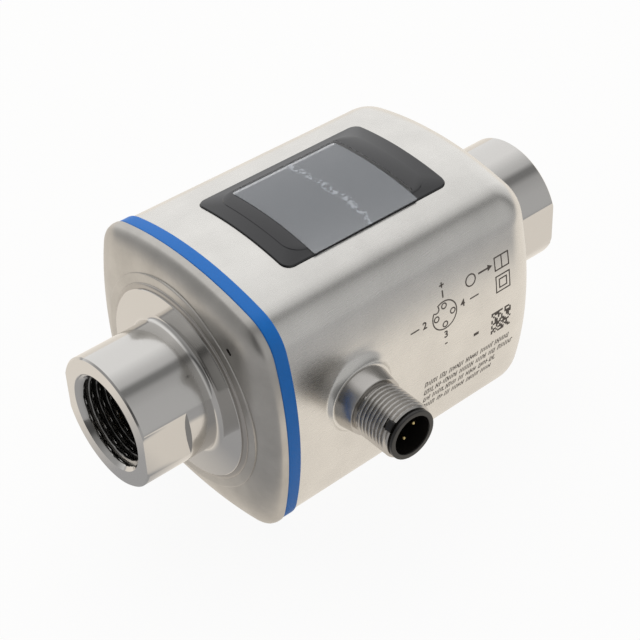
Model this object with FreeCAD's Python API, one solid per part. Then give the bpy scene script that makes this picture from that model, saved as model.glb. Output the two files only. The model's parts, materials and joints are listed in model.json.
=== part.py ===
"""Compact electromagnetic flow meter with two female G 1/2 ports, a display and an M12 plug.

Frame: the origin is the centre of the inlet port's mouth. +X runs with the flow to the
outlet, +Z points up through the display, and the plug points along -Y.  Lengths are in mm.
"""
import FreeCAD, Part
import math
import os

# ---------------------------------------------------------------- driving dimensions
# Ports: turned stainless fittings, one at each end of the flow axis
FACE_TO_FACE = 110.0
PORT_RADIUS = 14.25
RIM_CHAMFER = 0.35
THREAD_MINOR_RADIUS = 9.3155
THREAD_DEPTH = 14.0
MOUTH_RADIUS = 10.7
PASSAGE_RADIUS = 6.75
ACROSS_FLATS = 26.4
FLAT_LENGTH = 10.3
DISC_RADIUS = 20.8
DISC_FACE = 17.2
DISC_THICKNESS = 0.8
DISC_ROOT_RADIUS = 1.2
WELD_WIDTH = 1.1
WELD_HEIGHT = 0.45
NECK_RADIUS = 13.0
NECK_LENGTH = 9.0
SOCKET_DEPTH = 8.0

# Housing: deep drawn sheet with four crowned sides, closed at the outlet end
SHEET = 1.2
CROWN_RADIUS = 79.5
CORNER_RADIUS = 9.3
HOUSING_HALF = 28.65
HOUSING_DRAFT = 0.6
END_ROUND = 8.4

# Front cap: dished lid with a straight lip, welded to the inlet fitting
CAP_OVERHANG = 0.45
CAP_LIP = 0.8
CAP_SHOULDER = 8.5
CAP_EMBOSS_MARGIN = 2.1
CAP_EMBOSS_HEIGHT = 0.2
CAP_DEPTH = 4.1
CAP_SHOULDER_STEPS = 6
SPIGOT_WALL = 1.0
SPIGOT_DEPTH = 4.0
SLOT_RADIUS = 26.1
SLOT_ANGLE = 43.0
SLOT_LENGTH = 1.6
SLOT_WIDTH = 0.55

# Seal ring between the cap and the housing
SEAL_WIDTH = 3.2
SEAL_PROUD = 0.3
SEAL_EDGE_ROUND = 0.4

# Display window and what lies under it
WINDOW_CENTRE_X = 56.5
WINDOW_LENGTH = 42.2
WINDOW_WIDTH = 28.9
WINDOW_CORNER = 2.2
WINDOW_PROUD = 0.35
WINDOW_EDGE_ROUND = 0.2
LENS_BORDER_ENDS = 3.5
LENS_BORDER_SIDES = 1.95
LENS_PAD_CORNER = 4.0
LENS_PAD_HEIGHT = 0.15
FLANGE_WIDTH = 1.5
FLANGE_THICKNESS = 0.8
WINDOW_SEAL_THICKNESS = 0.4
MASK_THICKNESS = 0.15
SCREEN_LENGTH = 27.0
SCREEN_WIDTH = 24.0
SCREEN_CORNER = 0.5
FILM_LENGTH = 26.6
FILM_SHORT_OF_EDGE = 3.1
FILM_OFFSET_X = -0.8
FILM_THICKNESS = 0.08
FILM_CORNER = 0.3
MODULE_LENGTH = 31.0
MODULE_WIDTH = 29.6
MODULE_THICKNESS = 1.2
DISPLAY_BOARD_THICKNESS = 0.8
FRAME_WALL = 2.0
FRAME_LIP = 0.3

# M12 plug, on the side at -Y
PLUG_X = 40.7
PLUG_Z = 1.8
PLUG_NECK_FOOT_RADIUS = 10.4
PLUG_NECK_WALL_RADIUS = 7.65
PLUG_NECK_TOP_RADIUS = 7.3
PLUG_NECK_HEIGHT = 1.0
PLUG_NECK_LIP = 0.2
PLUG_NECK_DROP = 0.7
PLUG_NECK_HOLLOW = 0.5
PLUG_SEAT_THICKNESS = 0.9
PLUG_BODY_RADIUS = 6.5
PLUG_COLLAR_RADIUS = 7.05
PLUG_COLLAR_TIP_RADIUS = 6.4
PLUG_COLLAR_LENGTH = 3.95
PLUG_THREAD_RADIUS = 5.985
PLUG_THREAD_LENGTH = 8.8
PLUG_UNDERCUT_RADIUS = 5.55
PLUG_UNDERCUT_LENGTH = 0.65
PLUG_SHELL_WALL = 1.035
PLUG_BODY_DEPTH = 6.6
INSERT_HEAD_RADIUS = 5.43
INSERT_HEAD_LENGTH = 1.15
INSERT_CAVITY_RADIUS = 4.24
INSERT_CAVITY_DEPTH = 8.6
INSERT_CHAMFER = 0.15
KEY_WIDTH = 2.1
KEY_LENGTH = 1.3
KEY_ANGLE = 137.0
CONTACT_COUNT = 4
CONTACT_CIRCLE_RADIUS = 2.5
CONTACT_RADIUS = 0.5
CONTACT_RECESS = 2.2
PLUG_SEAL_SECTION = 0.85
PLUG_THREAD_CHAMFER = 0.5
PLUG_NUT_FLATS = 17.0
PLUG_NUT_THICKNESS = 3.0
PLUG_BOARD_SIZE = 15.0

# Measuring tube, electrodes and magnet
TUBE_RADIUS = 10.0
TUBE_END_RADIUS = 9.0
TUBE_SEAL_SECTION = 1.18
TUBE_SEAL_OFFSET = 3.6
ELECTRODE_RADIUS = 1.2
ELECTRODE_REACH = 13.0
ELECTRODE_FLAT = 9.6
ELECTRODE_SEAL_SECTION = 1.1
ELECTRODE_NUT_FLATS = 5.0
ELECTRODE_NUT_THICKNESS = 2.0
POLE_LENGTH = 14.0
POLE_WIDTH = 15.0
POLE_SHOE_TOP = 11.6
POLE_CORE_RADIUS = 3.0
COIL_RADIUS = 9.0
BOBBIN_RADIUS = 9.5
BOBBIN_WALL = 0.8
YOKE_THICKNESS = 1.5
YOKE_BEND = 2.0
SENSOR_X = 36.0
SENSOR_RADIUS = 1.0
SENSOR_HEAD_RADIUS = 1.8
SENSOR_DEPTH = 2.3
SENSOR_HEAD_HEIGHT = 2.0

# Electronics
BOARD_BEYOND_MODULE = 21.0
BOARD_LENGTH = MODULE_LENGTH + BOARD_BEYOND_MODULE
BOARD_WIDTH = 39.0
BOARD_THICKNESS = 1.2
CARRIER_THICKNESS = 0.9
CARRIER_MARGIN = 1.0
CLIP_THICKNESS = 1.2
CLIP_DEPTH = 6.0
BOSS_RADIUS = 2.2
BOSS_HEIGHT = 0.8
BOSS_DEPTH = 2.5
BOSS_INSET = 4.0
SCREW_RADIUS = 1.0
SCREW_HEAD_RADIUS = 1.9
SCREW_HEAD_HEIGHT = 1.2
BOARD_GAP = 1.3
LINK_LENGTH = 4.0
LINK_WIDTH = 12.0
CHIP_SIZE = 9.0
CHIP_PITCH = 11.7
CHIP_HEIGHT = 0.9

# Fits and clearances
NECK_FIT = 0.1
SOCKET_FIT = 0.1
TUBE_END_GAP = 0.2
SPIGOT_FIT = 0.15
WINDOW_FIT = 0.12
PLUG_FIT = 0.1
PIN_FIT = 0.05
COIL_FIT = 0.1
SADDLE_FIT = 0.1
CLIP_FIT = 0.1
MODULE_FIT = 0.1
PANEL_CLEARANCE = 0.1
FACE_FIT = 0.02
TOLERANCE = 1e-6

# ---------------------------------------------------------------- derived places
CAP_FACE = DISC_FACE + DISC_THICKNESS + CAP_EMBOSS_HEIGHT
SEAL_FRONT = CAP_FACE + CAP_DEPTH
HOUSING_MOUTH = SEAL_FRONT + SEAL_WIDTH
HOUSING_END = FACE_TO_FACE - DISC_FACE - DISC_THICKNESS
SOCKET_RADIUS = TUBE_END_RADIUS + SOCKET_FIT
NECK_END = DISC_FACE + DISC_THICKNESS + NECK_LENGTH
SOCKET_START = NECK_END - SOCKET_DEPTH
MIDDLE_X = FACE_TO_FACE / 2
REACH = FACE_TO_FACE

CAP_HALF = HOUSING_HALF + CAP_OVERHANG
CAP_FLAT_HALF = CAP_HALF - CAP_SHOULDER
CAP_EMBOSS_RADIUS = DISC_RADIUS + WELD_WIDTH + CAP_EMBOSS_MARGIN
SEAL_HALF = HOUSING_HALF + SEAL_PROUD

LENS_DEPTH = SHEET + WINDOW_SEAL_THICKNESS + FLANGE_THICKNESS
LENS_PAD_LENGTH = WINDOW_LENGTH - 2 * LENS_BORDER_ENDS
LENS_PAD_WIDTH = WINDOW_WIDTH - 2 * LENS_BORDER_SIDES
FILM_WIDTH = WINDOW_WIDTH - FILM_SHORT_OF_EDGE
FILM_OFFSET_Y = (FILM_WIDTH - WINDOW_WIDTH) / 2


def housing_half_at(x):
    """Half width of the housing at a place along the flow axis."""
    travel = (x - HOUSING_MOUTH) / (HOUSING_END - HOUSING_MOUTH)
    return HOUSING_HALF - HOUSING_DRAFT * travel


def crown_drop(across):
    """How far a crowned side falls away at a distance from its middle."""
    return CROWN_RADIUS - math.sqrt(CROWN_RADIUS ** 2 - across ** 2)


# The display hangs under the cover, and the magnet takes the height that is left below it
MODULE_TOP = (housing_half_at(WINDOW_CENTRE_X + MODULE_LENGTH / 2) - crown_drop(MODULE_WIDTH / 2)
              - LENS_DEPTH - FACE_FIT - MASK_THICKNESS - PANEL_CLEARANCE)
DISPLAY_BOARD_TOP = MODULE_TOP - MODULE_THICKNESS
DISPLAY_BOARD_BOTTOM = DISPLAY_BOARD_TOP - DISPLAY_BOARD_THICKNESS
BOARD_TOP = DISPLAY_BOARD_BOTTOM - BOARD_GAP
BOARD_BOTTOM = BOARD_TOP - BOARD_THICKNESS
CARRIER_TOP = BOARD_BOTTOM - BOSS_HEIGHT
YOKE_TOP = CARRIER_TOP - CARRIER_THICKNESS
YOKE_INNER = YOKE_TOP - YOKE_THICKNESS
YOKE_HALF = ELECTRODE_REACH + YOKE_THICKNESS + 2 * COIL_FIT
BOBBIN_HEIGHT = YOKE_INNER - POLE_SHOE_TOP - FACE_FIT

PLUG_SEAT = housing_half_at(PLUG_X)
PLUG_COLLAR_FOOT = PLUG_SEAT + PLUG_NECK_HEIGHT
PLUG_COLLAR_END = PLUG_COLLAR_FOOT + PLUG_COLLAR_LENGTH
PLUG_THREAD_START = PLUG_COLLAR_END + PLUG_UNDERCUT_LENGTH
PLUG_THREAD_END = PLUG_THREAD_START + PLUG_THREAD_LENGTH
PLUG_FACE = PLUG_THREAD_END + INSERT_HEAD_LENGTH
PLUG_BACK = PLUG_SEAT - PLUG_BODY_DEPTH
PLUG_SHELL_BORE = PLUG_THREAD_RADIUS - PLUG_SHELL_WALL

ALONG_X = FreeCAD.Vector(1, 0, 0)
ALONG_Y = FreeCAD.Vector(0, 1, 0)
ALONG_Z = FreeCAD.Vector(0, 0, 1)
ORIGIN = FreeCAD.Vector(0, 0, 0)


# ---------------------------------------------------------------- small builders
def line(start, end):
    """Straight edge between two points."""
    return Part.LineSegment(start, end).toShape()


def arc(start, middle, end):
    """Circular edge through three points."""
    return Part.Arc(start, middle, end).toShape()


def polygon_face(points):
    """Flat face inside a closed run of straight edges."""
    return Part.Face(Part.makePolygon(points + points[:1]))


def turned(profile):
    """Body turned about the X axis from (x, radius) points; a third point makes an arc.

    Each entry is (x, radius) for a straight cut, or (x, radius, through_x, through_radius)
    for an arc that ends at the first pair and passes through the second.
    """
    edges = []
    last = profile[-1][:2]
    for entry in profile:
        start = FreeCAD.Vector(last[0], 0, last[1])
        end = FreeCAD.Vector(entry[0], 0, entry[1])
        if len(entry) == 4:
            edges.append(arc(start, FreeCAD.Vector(entry[2], 0, entry[3]), end))
        else:
            edges.append(line(start, end))
        last = entry[:2]
    return Part.Face(Part.Wire(edges)).revolve(ORIGIN, ALONG_X, 360)


def block(x_range, y_range, z_range):
    """Rectangular block from its three ranges."""
    corner = FreeCAD.Vector(x_range[0], y_range[0], z_range[0])
    size = [high - low for low, high in (x_range, y_range, z_range)]
    return Part.makeBox(size[0], size[1], size[2], corner)


def around(middle, length):
    """Range of a length centred on a middle."""
    return (middle - length / 2, middle + length / 2)


def rod(start, direction, radius, length):
    """Round rod from a point along a direction."""
    return Part.makeCylinder(radius, length, start, direction)


def hex_prism(start, direction, across_flats, length):
    """Hexagonal prism from the centre of its first face."""
    radius = across_flats / math.sqrt(3)
    points = [FreeCAD.Vector(radius * math.cos(math.radians(60 * k)),
                             radius * math.sin(math.radians(60 * k)), 0) for k in range(6)]
    prism = polygon_face(points).extrude(ALONG_Z * length)
    prism.Placement = FreeCAD.Placement(start, FreeCAD.Rotation(ALONG_Z, direction))
    return prism


def to_plug(shape):
    """Turn a body made along +X to the plug's axis, which runs along -Y."""
    moved = shape.copy()
    moved.rotate(ORIGIN, ALONG_Z, -90)
    moved.translate(FreeCAD.Vector(PLUG_X, 0, PLUG_Z))
    return moved


def to_outlet(shape):
    """Mirror an inlet body to the outlet end."""
    return shape.mirror(FreeCAD.Vector(MIDDLE_X, 0, 0), ALONG_X)


def upright(shape):
    """Mirror a body made above the flow axis to below it."""
    return shape.mirror(ORIGIN, ALONG_Z)


def edges_along(shape, axis):
    """Edges that start out along an axis."""
    return [edge for edge in shape.Edges
            if abs(edge.tangentAt(edge.FirstParameter).dot(axis)) > 1 - TOLERANCE]


def one_solid(shape):
    """The single solid of a finished piece."""
    clean = shape.removeSplitter()
    return clean.Solids[0] if len(clean.Solids) == 1 else clean


# ---------------------------------------------------------------- crowned square forms
def crowned_wire(x, half, crown, corner):
    """Closed outline at X = x: four crowned sides joined by tangent round corners."""
    low = half - crown
    spread = crown - corner
    centre = (low + math.sqrt(2 * spread ** 2 - low ** 2)) / 2
    sweep = math.atan2(centre - low, centre)
    edges = []
    for quarter in range(4):
        spin = FreeCAD.Rotation(ALONG_X, -90 * quarter)

        def on_side(angle):
            return spin.multVec(FreeCAD.Vector(x, crown * math.cos(angle),
                                               low + crown * math.sin(angle)))

        def on_corner(angle):
            return spin.multVec(FreeCAD.Vector(x, centre + corner * math.cos(angle),
                                               centre + corner * math.sin(angle)))

        edges.append(arc(on_side(math.pi - sweep), on_side(math.pi / 2), on_side(sweep)))
        edges.append(arc(on_corner(sweep), on_corner(math.pi / 4), on_corner(math.pi / 2 - sweep)))
    return Part.Wire(edges)


def crowned_prism(x_start, x_end, half, shrink):
    """Straight crowned body whose crown and corner are reduced with its half width."""
    wire = crowned_wire(x_start, half, CROWN_RADIUS - shrink, CORNER_RADIUS - shrink)
    return Part.Face(wire).extrude(ALONG_X * (x_end - x_start))


def housing_form(grow, x_start):
    """Form of the drawn housing, grown evenly, from a plane at its mouth to its round end."""
    end = HOUSING_END + grow
    wires = [crowned_wire(x, housing_half_at(x) + grow, CROWN_RADIUS + grow, CORNER_RADIUS + grow)
             for x in (x_start, end)]
    form = Part.makeLoft(wires, True, True)
    rim = [edge for edge in form.Edges
           if all(abs(vertex.X - end) < TOLERANCE for vertex in edge.Vertexes)]
    return form.makeFillet(END_ROUND + grow, rim)


def dished_form(half, face):
    """Form of the cap: elliptical shoulder from its half width in to a flat face."""
    shrink = CAP_HALF - half
    foot = SEAL_FRONT - CAP_LIP
    wires = []
    for step in range(CAP_SHOULDER_STEPS + 1):
        angle = math.pi / 2 * step / CAP_SHOULDER_STEPS
        inward = (half - CAP_FLAT_HALF) * (1 - math.cos(angle))
        x = foot - (foot - face) * math.sin(angle)
        wires.append(crowned_wire(x, half - inward, CROWN_RADIUS - shrink - inward,
                                  CORNER_RADIUS - shrink - inward))
    return Part.makeLoft(wires, True, False)


# ---------------------------------------------------------------- ports
def process_fitting():
    """Turned inlet fitting: flats, mouth, thread bore, weld disc, neck and tube socket."""
    disc_back = DISC_FACE + DISC_THICKNESS
    bend = DISC_ROOT_RADIUS * (1 - math.sqrt(0.5))
    mouth_depth = MOUTH_RADIUS - THREAD_MINOR_RADIUS
    body = turned([
        (0, MOUTH_RADIUS),
        (0, PORT_RADIUS - RIM_CHAMFER),
        (RIM_CHAMFER, PORT_RADIUS),
        (DISC_FACE - DISC_ROOT_RADIUS, PORT_RADIUS),
        (DISC_FACE, PORT_RADIUS + DISC_ROOT_RADIUS, DISC_FACE - bend, PORT_RADIUS + bend),
        (DISC_FACE, DISC_RADIUS),
        (disc_back, DISC_RADIUS),
        (disc_back, NECK_RADIUS),
        (NECK_END, NECK_RADIUS),
        (NECK_END, SOCKET_RADIUS),
        (SOCKET_START, SOCKET_RADIUS),
        (SOCKET_START, PASSAGE_RADIUS),
        (THREAD_DEPTH, PASSAGE_RADIUS),
        (THREAD_DEPTH, THREAD_MINOR_RADIUS),
        (mouth_depth, THREAD_MINOR_RADIUS),
    ])
    for side in (-1, 1):
        flat = sorted((side * ACROSS_FLATS / 2, side * REACH))
        body = body.cut(block((-1, FLAT_LENGTH), flat, (-REACH, REACH)))
    return one_solid(body)


def weld_bead():
    """Rounded weld seam round the rim of the inlet's disc."""
    seat = DISC_FACE + DISC_THICKNESS
    tip = DISC_RADIUS + WELD_WIDTH
    return turned([
        (seat, DISC_RADIUS),
        (seat - WELD_HEIGHT, DISC_RADIUS),
        (seat, tip, seat - WELD_HEIGHT * math.sqrt(0.5), DISC_RADIUS + WELD_WIDTH * math.sqrt(0.5)),
    ])


# ---------------------------------------------------------------- casing
def front_cap():
    """Dished lid with an embossed seat for the disc and a spigot inside the seal."""
    spigot_half = housing_half_at(HOUSING_MOUTH) - SHEET - SPIGOT_FIT
    spigot_end = HOUSING_MOUTH + SPIGOT_DEPTH
    inner_half = spigot_half - SPIGOT_WALL
    inner_shrink = CAP_HALF - inner_half
    foot = SEAL_FRONT - CAP_LIP
    cap = dished_form(CAP_HALF, CAP_FACE)
    cap = cap.fuse(crowned_prism(foot, SEAL_FRONT, CAP_HALF, 0))
    emboss_face = FreeCAD.Vector(CAP_FACE - CAP_EMBOSS_HEIGHT, 0, 0)
    cap = cap.fuse(rod(emboss_face, ALONG_X, CAP_EMBOSS_RADIUS, SHEET))
    cap = cap.fuse(crowned_prism(foot, spigot_end, spigot_half, CAP_HALF - spigot_half))
    cavity = dished_form(inner_half, CAP_FACE + SHEET)
    cavity = cavity.fuse(crowned_prism(foot, spigot_end + 1, inner_half, inner_shrink))
    cap = cap.cut(cavity)
    cap = cap.cut(rod(ORIGIN, ALONG_X, NECK_RADIUS + NECK_FIT, SEAL_FRONT))
    return one_solid(cap.cut(drain_slot()))


def drain_slot():
    """Short slot through the cap, set off towards the upper corner on the plug's side."""
    straight = SLOT_LENGTH - SLOT_WIDTH
    depth = SEAL_FRONT
    slot = block((0, depth), around(0, straight), around(0, SLOT_WIDTH))
    for end in (-1, 1):
        centre = FreeCAD.Vector(0, end * straight / 2, 0)
        slot = slot.fuse(rod(centre, ALONG_X, SLOT_WIDTH / 2, depth))
    slot.translate(FreeCAD.Vector(0, 0, SLOT_RADIUS))
    slot.rotate(ORIGIN, ALONG_X, SLOT_ANGLE)
    return slot


def seal_ring():
    """Silicone ring round the cap's spigot, its outer edges softly rounded."""
    inner_half = housing_half_at(HOUSING_MOUTH) - SHEET
    ring = crowned_prism(SEAL_FRONT, HOUSING_MOUTH, SEAL_HALF, CAP_HALF - SEAL_HALF)
    rims = [edge for edge in ring.Edges
            if abs(edge.tangentAt(edge.FirstParameter).x) < TOLERANCE]
    ring = ring.makeFillet(SEAL_EDGE_ROUND, rims)
    hole = crowned_prism(SEAL_FRONT - 1, HOUSING_MOUTH + 1, inner_half, CAP_HALF - inner_half)
    return one_solid(ring.cut(hole))


def plug_neck():
    """Hollow-sided neck drawn out of the housing's side, with a rounded lip and a flat back."""
    root = PLUG_SEAT - SHEET - PLUG_SEAT_THICKNESS
    foot = PLUG_SEAT - PLUG_NECK_DROP
    wall = PLUG_COLLAR_FOOT - PLUG_NECK_LIP
    middle = (foot + wall) / 2 - PLUG_NECK_HOLLOW
    middle_radius = (PLUG_NECK_FOOT_RADIUS + PLUG_NECK_WALL_RADIUS) / 2
    lip_run = PLUG_NECK_WALL_RADIUS - PLUG_NECK_TOP_RADIUS
    lip_through = (wall + PLUG_NECK_LIP * math.sqrt(0.5),
                   PLUG_NECK_TOP_RADIUS + lip_run * math.sqrt(0.5))
    return to_plug(turned([
        (root, 0),
        (root, PLUG_NECK_FOOT_RADIUS),
        (foot, PLUG_NECK_FOOT_RADIUS),
        (wall, PLUG_NECK_WALL_RADIUS, middle, middle_radius),
        (PLUG_COLLAR_FOOT, PLUG_NECK_TOP_RADIUS) + lip_through,
        (PLUG_COLLAR_FOOT, 0),
    ]))


def housing():
    """Drawn shell with the window opening, the plug's collar and the outlet hole."""
    cavity = housing_form(-SHEET, HOUSING_MOUTH - 1)
    shell = housing_form(0, HOUSING_MOUTH).cut(cavity).fuse(plug_neck())
    shell = shell.cut(rounded_column(WINDOW_LENGTH, WINDOW_WIDTH, WINDOW_CORNER))
    bore = rod(ORIGIN, ALONG_X, PLUG_BODY_RADIUS + PLUG_FIT, REACH)
    shell = shell.cut(to_plug(bore))
    outlet = FreeCAD.Vector(MIDDLE_X, 0, 0)
    return one_solid(shell.cut(rod(outlet, ALONG_X, NECK_RADIUS + NECK_FIT, REACH)))


# ---------------------------------------------------------------- display
def rounded_column(length, width, corner, middle_x=WINDOW_CENTRE_X, middle_y=0.0):
    """Upright column with round corners, from the middle of the object out past its top."""
    column = block(around(middle_x, length), around(middle_y, width), (TUBE_RADIUS, REACH))
    return column.makeFillet(corner, edges_along(column, ALONG_Z))


def crowned_layer(top, bottom, outline):
    """Part of a column between two surfaces that follow the crowned top of the housing."""
    layer = outline.common(housing_form(top, HOUSING_MOUTH))
    return layer.cut(housing_form(bottom, HOUSING_MOUTH - 1))


def window_lens():
    """Clear cover: proud border, raised middle pad, and a flange under the sheet."""
    border = rounded_column(WINDOW_LENGTH - 2 * WINDOW_FIT, WINDOW_WIDTH - 2 * WINDOW_FIT,
                            WINDOW_CORNER - WINDOW_FIT)
    flange = rounded_column(WINDOW_LENGTH + 2 * FLANGE_WIDTH, WINDOW_WIDTH + 2 * FLANGE_WIDTH,
                            WINDOW_CORNER + FLANGE_WIDTH)
    pad = rounded_column(LENS_PAD_LENGTH, LENS_PAD_WIDTH, LENS_PAD_CORNER)
    lens = crowned_layer(WINDOW_PROUD, -LENS_DEPTH, border)
    face = max(lens.Faces, key=lambda side: side.CenterOfMass.z)
    lens = lens.makeFillet(WINDOW_EDGE_ROUND, face.Edges)
    lens = lens.fuse(crowned_layer(WINDOW_PROUD + LENS_PAD_HEIGHT, 0, pad))
    lens = lens.fuse(crowned_layer(FLANGE_THICKNESS - LENS_DEPTH, -LENS_DEPTH, flange))
    return one_solid(lens)


def window_seal():
    """Flat gasket between the lens flange and the underside of the sheet."""
    outer = rounded_column(WINDOW_LENGTH + 2 * FLANGE_WIDTH, WINDOW_WIDTH + 2 * FLANGE_WIDTH,
                           WINDOW_CORNER + FLANGE_WIDTH)
    ring = outer.cut(rounded_column(WINDOW_LENGTH, WINDOW_WIDTH, WINDOW_CORNER))
    return one_solid(crowned_layer(-SHEET - FACE_FIT, FACE_FIT - SHEET - WINDOW_SEAL_THICKNESS, ring))


def window_mask():
    """Black print on the back of the lens, open over the screen."""
    outer = rounded_column(WINDOW_LENGTH + FLANGE_WIDTH, WINDOW_WIDTH + FLANGE_WIDTH,
                           WINDOW_CORNER)
    frame = outer.cut(rounded_column(SCREEN_LENGTH, SCREEN_WIDTH, SCREEN_CORNER))
    top = -LENS_DEPTH - FACE_FIT
    return one_solid(crowned_layer(top, top - MASK_THICKNESS, frame))


def protective_film():
    """Thin peel-off film laid on the lens, a little off its centre."""
    height = WINDOW_PROUD + LENS_PAD_HEIGHT + FACE_FIT
    sheet = rounded_column(FILM_LENGTH, FILM_WIDTH, FILM_CORNER,
                           WINDOW_CENTRE_X + FILM_OFFSET_X, FILM_OFFSET_Y)
    return one_solid(crowned_layer(height + FILM_THICKNESS, height, sheet))


def display_module():
    """Flat display panel on its small board."""
    return block(around(WINDOW_CENTRE_X, MODULE_LENGTH), around(0, MODULE_WIDTH),
                 (DISPLAY_BOARD_TOP, MODULE_TOP))


def display_board():
    """Board that carries the display panel."""
    return block(around(WINDOW_CENTRE_X, MODULE_LENGTH), around(0, MODULE_WIDTH),
                 (DISPLAY_BOARD_BOTTOM, DISPLAY_BOARD_TOP))


def display_frame():
    """Moulded frame round the panel, standing on the main board on four legs."""
    hole_length = MODULE_LENGTH + 2 * MODULE_FIT
    hole_width = MODULE_WIDTH + 2 * MODULE_FIT
    span = (DISPLAY_BOARD_BOTTOM, MODULE_TOP - FRAME_LIP)
    frame = block(around(WINDOW_CENTRE_X, hole_length + 2 * FRAME_WALL),
                  around(0, hole_width + 2 * FRAME_WALL), span)
    frame = frame.cut(block(around(WINDOW_CENTRE_X, hole_length), around(0, hole_width), span))
    for x_side in (-1, 1):
        for y_side in (-1, 1):
            foot = FreeCAD.Vector(WINDOW_CENTRE_X + x_side * (hole_length + FRAME_WALL) / 2,
                                  y_side * (hole_width + FRAME_WALL) / 2, BOARD_TOP)
            frame = frame.fuse(rod(foot, ALONG_Z, FRAME_WALL / 2, BOARD_GAP))
    return one_solid(frame)


# ---------------------------------------------------------------- plug
def key_block(width, depth, outer_radius):
    """Key or keyway at the plug's mouth, at the coding angle."""
    bar = block((PLUG_THREAD_END - depth, PLUG_THREAD_END), around(0, width),
                (INSERT_CAVITY_RADIUS + PIN_FIT, outer_radius))
    bar.rotate(ORIGIN, ALONG_X, KEY_ANGLE - 90)
    return to_plug(bar)


def plug_shell():
    """Turned metal body: rear body, collar, undercut and outside thread form."""
    seal_middle = PLUG_SEAT - SHEET / 2
    groove = PLUG_SEAL_SECTION + 2 * PIN_FIT
    groove_floor = PLUG_BODY_RADIUS + PLUG_FIT - PLUG_SEAL_SECTION - 2 * FACE_FIT
    body = turned([
        (PLUG_BACK, PLUG_SHELL_BORE),
        (PLUG_BACK, PLUG_BODY_RADIUS),
        (seal_middle - groove / 2, PLUG_BODY_RADIUS),
        (seal_middle - groove / 2, groove_floor),
        (seal_middle + groove / 2, groove_floor),
        (seal_middle + groove / 2, PLUG_BODY_RADIUS),
        (PLUG_COLLAR_FOOT, PLUG_BODY_RADIUS),
        (PLUG_COLLAR_FOOT, PLUG_COLLAR_RADIUS),
        (PLUG_COLLAR_END, PLUG_COLLAR_TIP_RADIUS),
        (PLUG_COLLAR_END + PLUG_UNDERCUT_LENGTH / 4, PLUG_UNDERCUT_RADIUS),
        (PLUG_THREAD_START, PLUG_UNDERCUT_RADIUS),
        (PLUG_THREAD_START + PLUG_UNDERCUT_LENGTH / 2, PLUG_THREAD_RADIUS),
        (PLUG_THREAD_END - PLUG_THREAD_CHAMFER, PLUG_THREAD_RADIUS),
        (PLUG_THREAD_END, PLUG_THREAD_RADIUS - PLUG_THREAD_CHAMFER),
        (PLUG_THREAD_END, PLUG_SHELL_BORE),
    ])
    keyway = key_block(KEY_WIDTH + 2 * PIN_FIT, KEY_LENGTH + PIN_FIT, 2 * PLUG_THREAD_RADIUS)
    return one_solid(to_plug(body).cut(keyway))


def plug_seal():
    """Sealing ring in the groove of the plug's body."""
    section = PLUG_SEAL_SECTION / 2
    radius = PLUG_BODY_RADIUS + PLUG_FIT - FACE_FIT - section
    centre = FreeCAD.Vector(PLUG_SEAT - SHEET / 2, 0, 0)
    return to_plug(Part.makeTorus(radius, section, centre, ALONG_X))


def plug_nut():
    """Hexagon nut that clamps the plug from inside the housing."""
    back = PLUG_SEAT - SHEET - PLUG_SEAT_THICKNESS - PLUG_NUT_THICKNESS - FACE_FIT
    start = FreeCAD.Vector(back, 0, 0)
    nut = hex_prism(start, ALONG_X, PLUG_NUT_FLATS, PLUG_NUT_THICKNESS)
    nut = nut.cut(rod(start, ALONG_X, PLUG_BODY_RADIUS + PIN_FIT, PLUG_NUT_THICKNESS))
    return to_plug(nut)


def contact_places():
    """Centres of the contact pins on their circle, measured from the plug's axis."""
    places = []
    for number in range(CONTACT_COUNT):
        angle = 2 * math.pi * number / CONTACT_COUNT
        places.append((CONTACT_CIRCLE_RADIUS * math.cos(angle),
                       CONTACT_CIRCLE_RADIUS * math.sin(angle)))
    return places


def plug_insert():
    """Moulded insert: base with four pin holes, round cavity, proud lip and outer key."""
    body_radius = PLUG_SHELL_BORE - PIN_FIT
    lip = INSERT_HEAD_LENGTH / 2
    floor = PLUG_FACE - INSERT_CAVITY_DEPTH
    body = turned([
        (PLUG_BACK, 0),
        (PLUG_BACK, body_radius),
        (PLUG_THREAD_END + FACE_FIT, body_radius),
        (PLUG_THREAD_END + FACE_FIT, body_radius + INSERT_CHAMFER),
        (PLUG_THREAD_END + lip, INSERT_HEAD_RADIUS),
        (PLUG_FACE - INSERT_CHAMFER, INSERT_HEAD_RADIUS),
        (PLUG_FACE, INSERT_HEAD_RADIUS - INSERT_CHAMFER),
        (PLUG_FACE, INSERT_CAVITY_RADIUS),
        (floor, INSERT_CAVITY_RADIUS),
        (floor, 0),
    ])
    insert = to_plug(body).fuse(key_block(KEY_WIDTH, KEY_LENGTH, PLUG_THREAD_RADIUS))
    for across, up in contact_places():
        start = FreeCAD.Vector(0, across, up)
        insert = insert.cut(to_plug(rod(start, ALONG_X, CONTACT_RADIUS + PIN_FIT, REACH)))
    return one_solid(insert)


def contact_pin(across, up):
    """Round contact with a domed tip, reaching back through the plug's board."""
    back = PLUG_BACK - 2 * BOARD_THICKNESS
    length = PLUG_FACE - CONTACT_RECESS - CONTACT_RADIUS - back
    pin = rod(FreeCAD.Vector(back, across, up), ALONG_X, CONTACT_RADIUS, length)
    tip = Part.makeSphere(CONTACT_RADIUS, FreeCAD.Vector(back + length, across, up))
    return one_solid(to_plug(pin.fuse(tip)))


def plug_board():
    """Small upright board behind the plug that takes the contacts' tails."""
    front = PLUG_BACK - FACE_FIT
    board = block((front - BOARD_THICKNESS, front), around(0, PLUG_BOARD_SIZE),
                  around(0, PLUG_BOARD_SIZE))
    for across, up in contact_places():
        start = FreeCAD.Vector(0, across, up)
        board = board.cut(rod(start, ALONG_X, CONTACT_RADIUS + PIN_FIT, REACH))
    return one_solid(to_plug(board))


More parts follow.
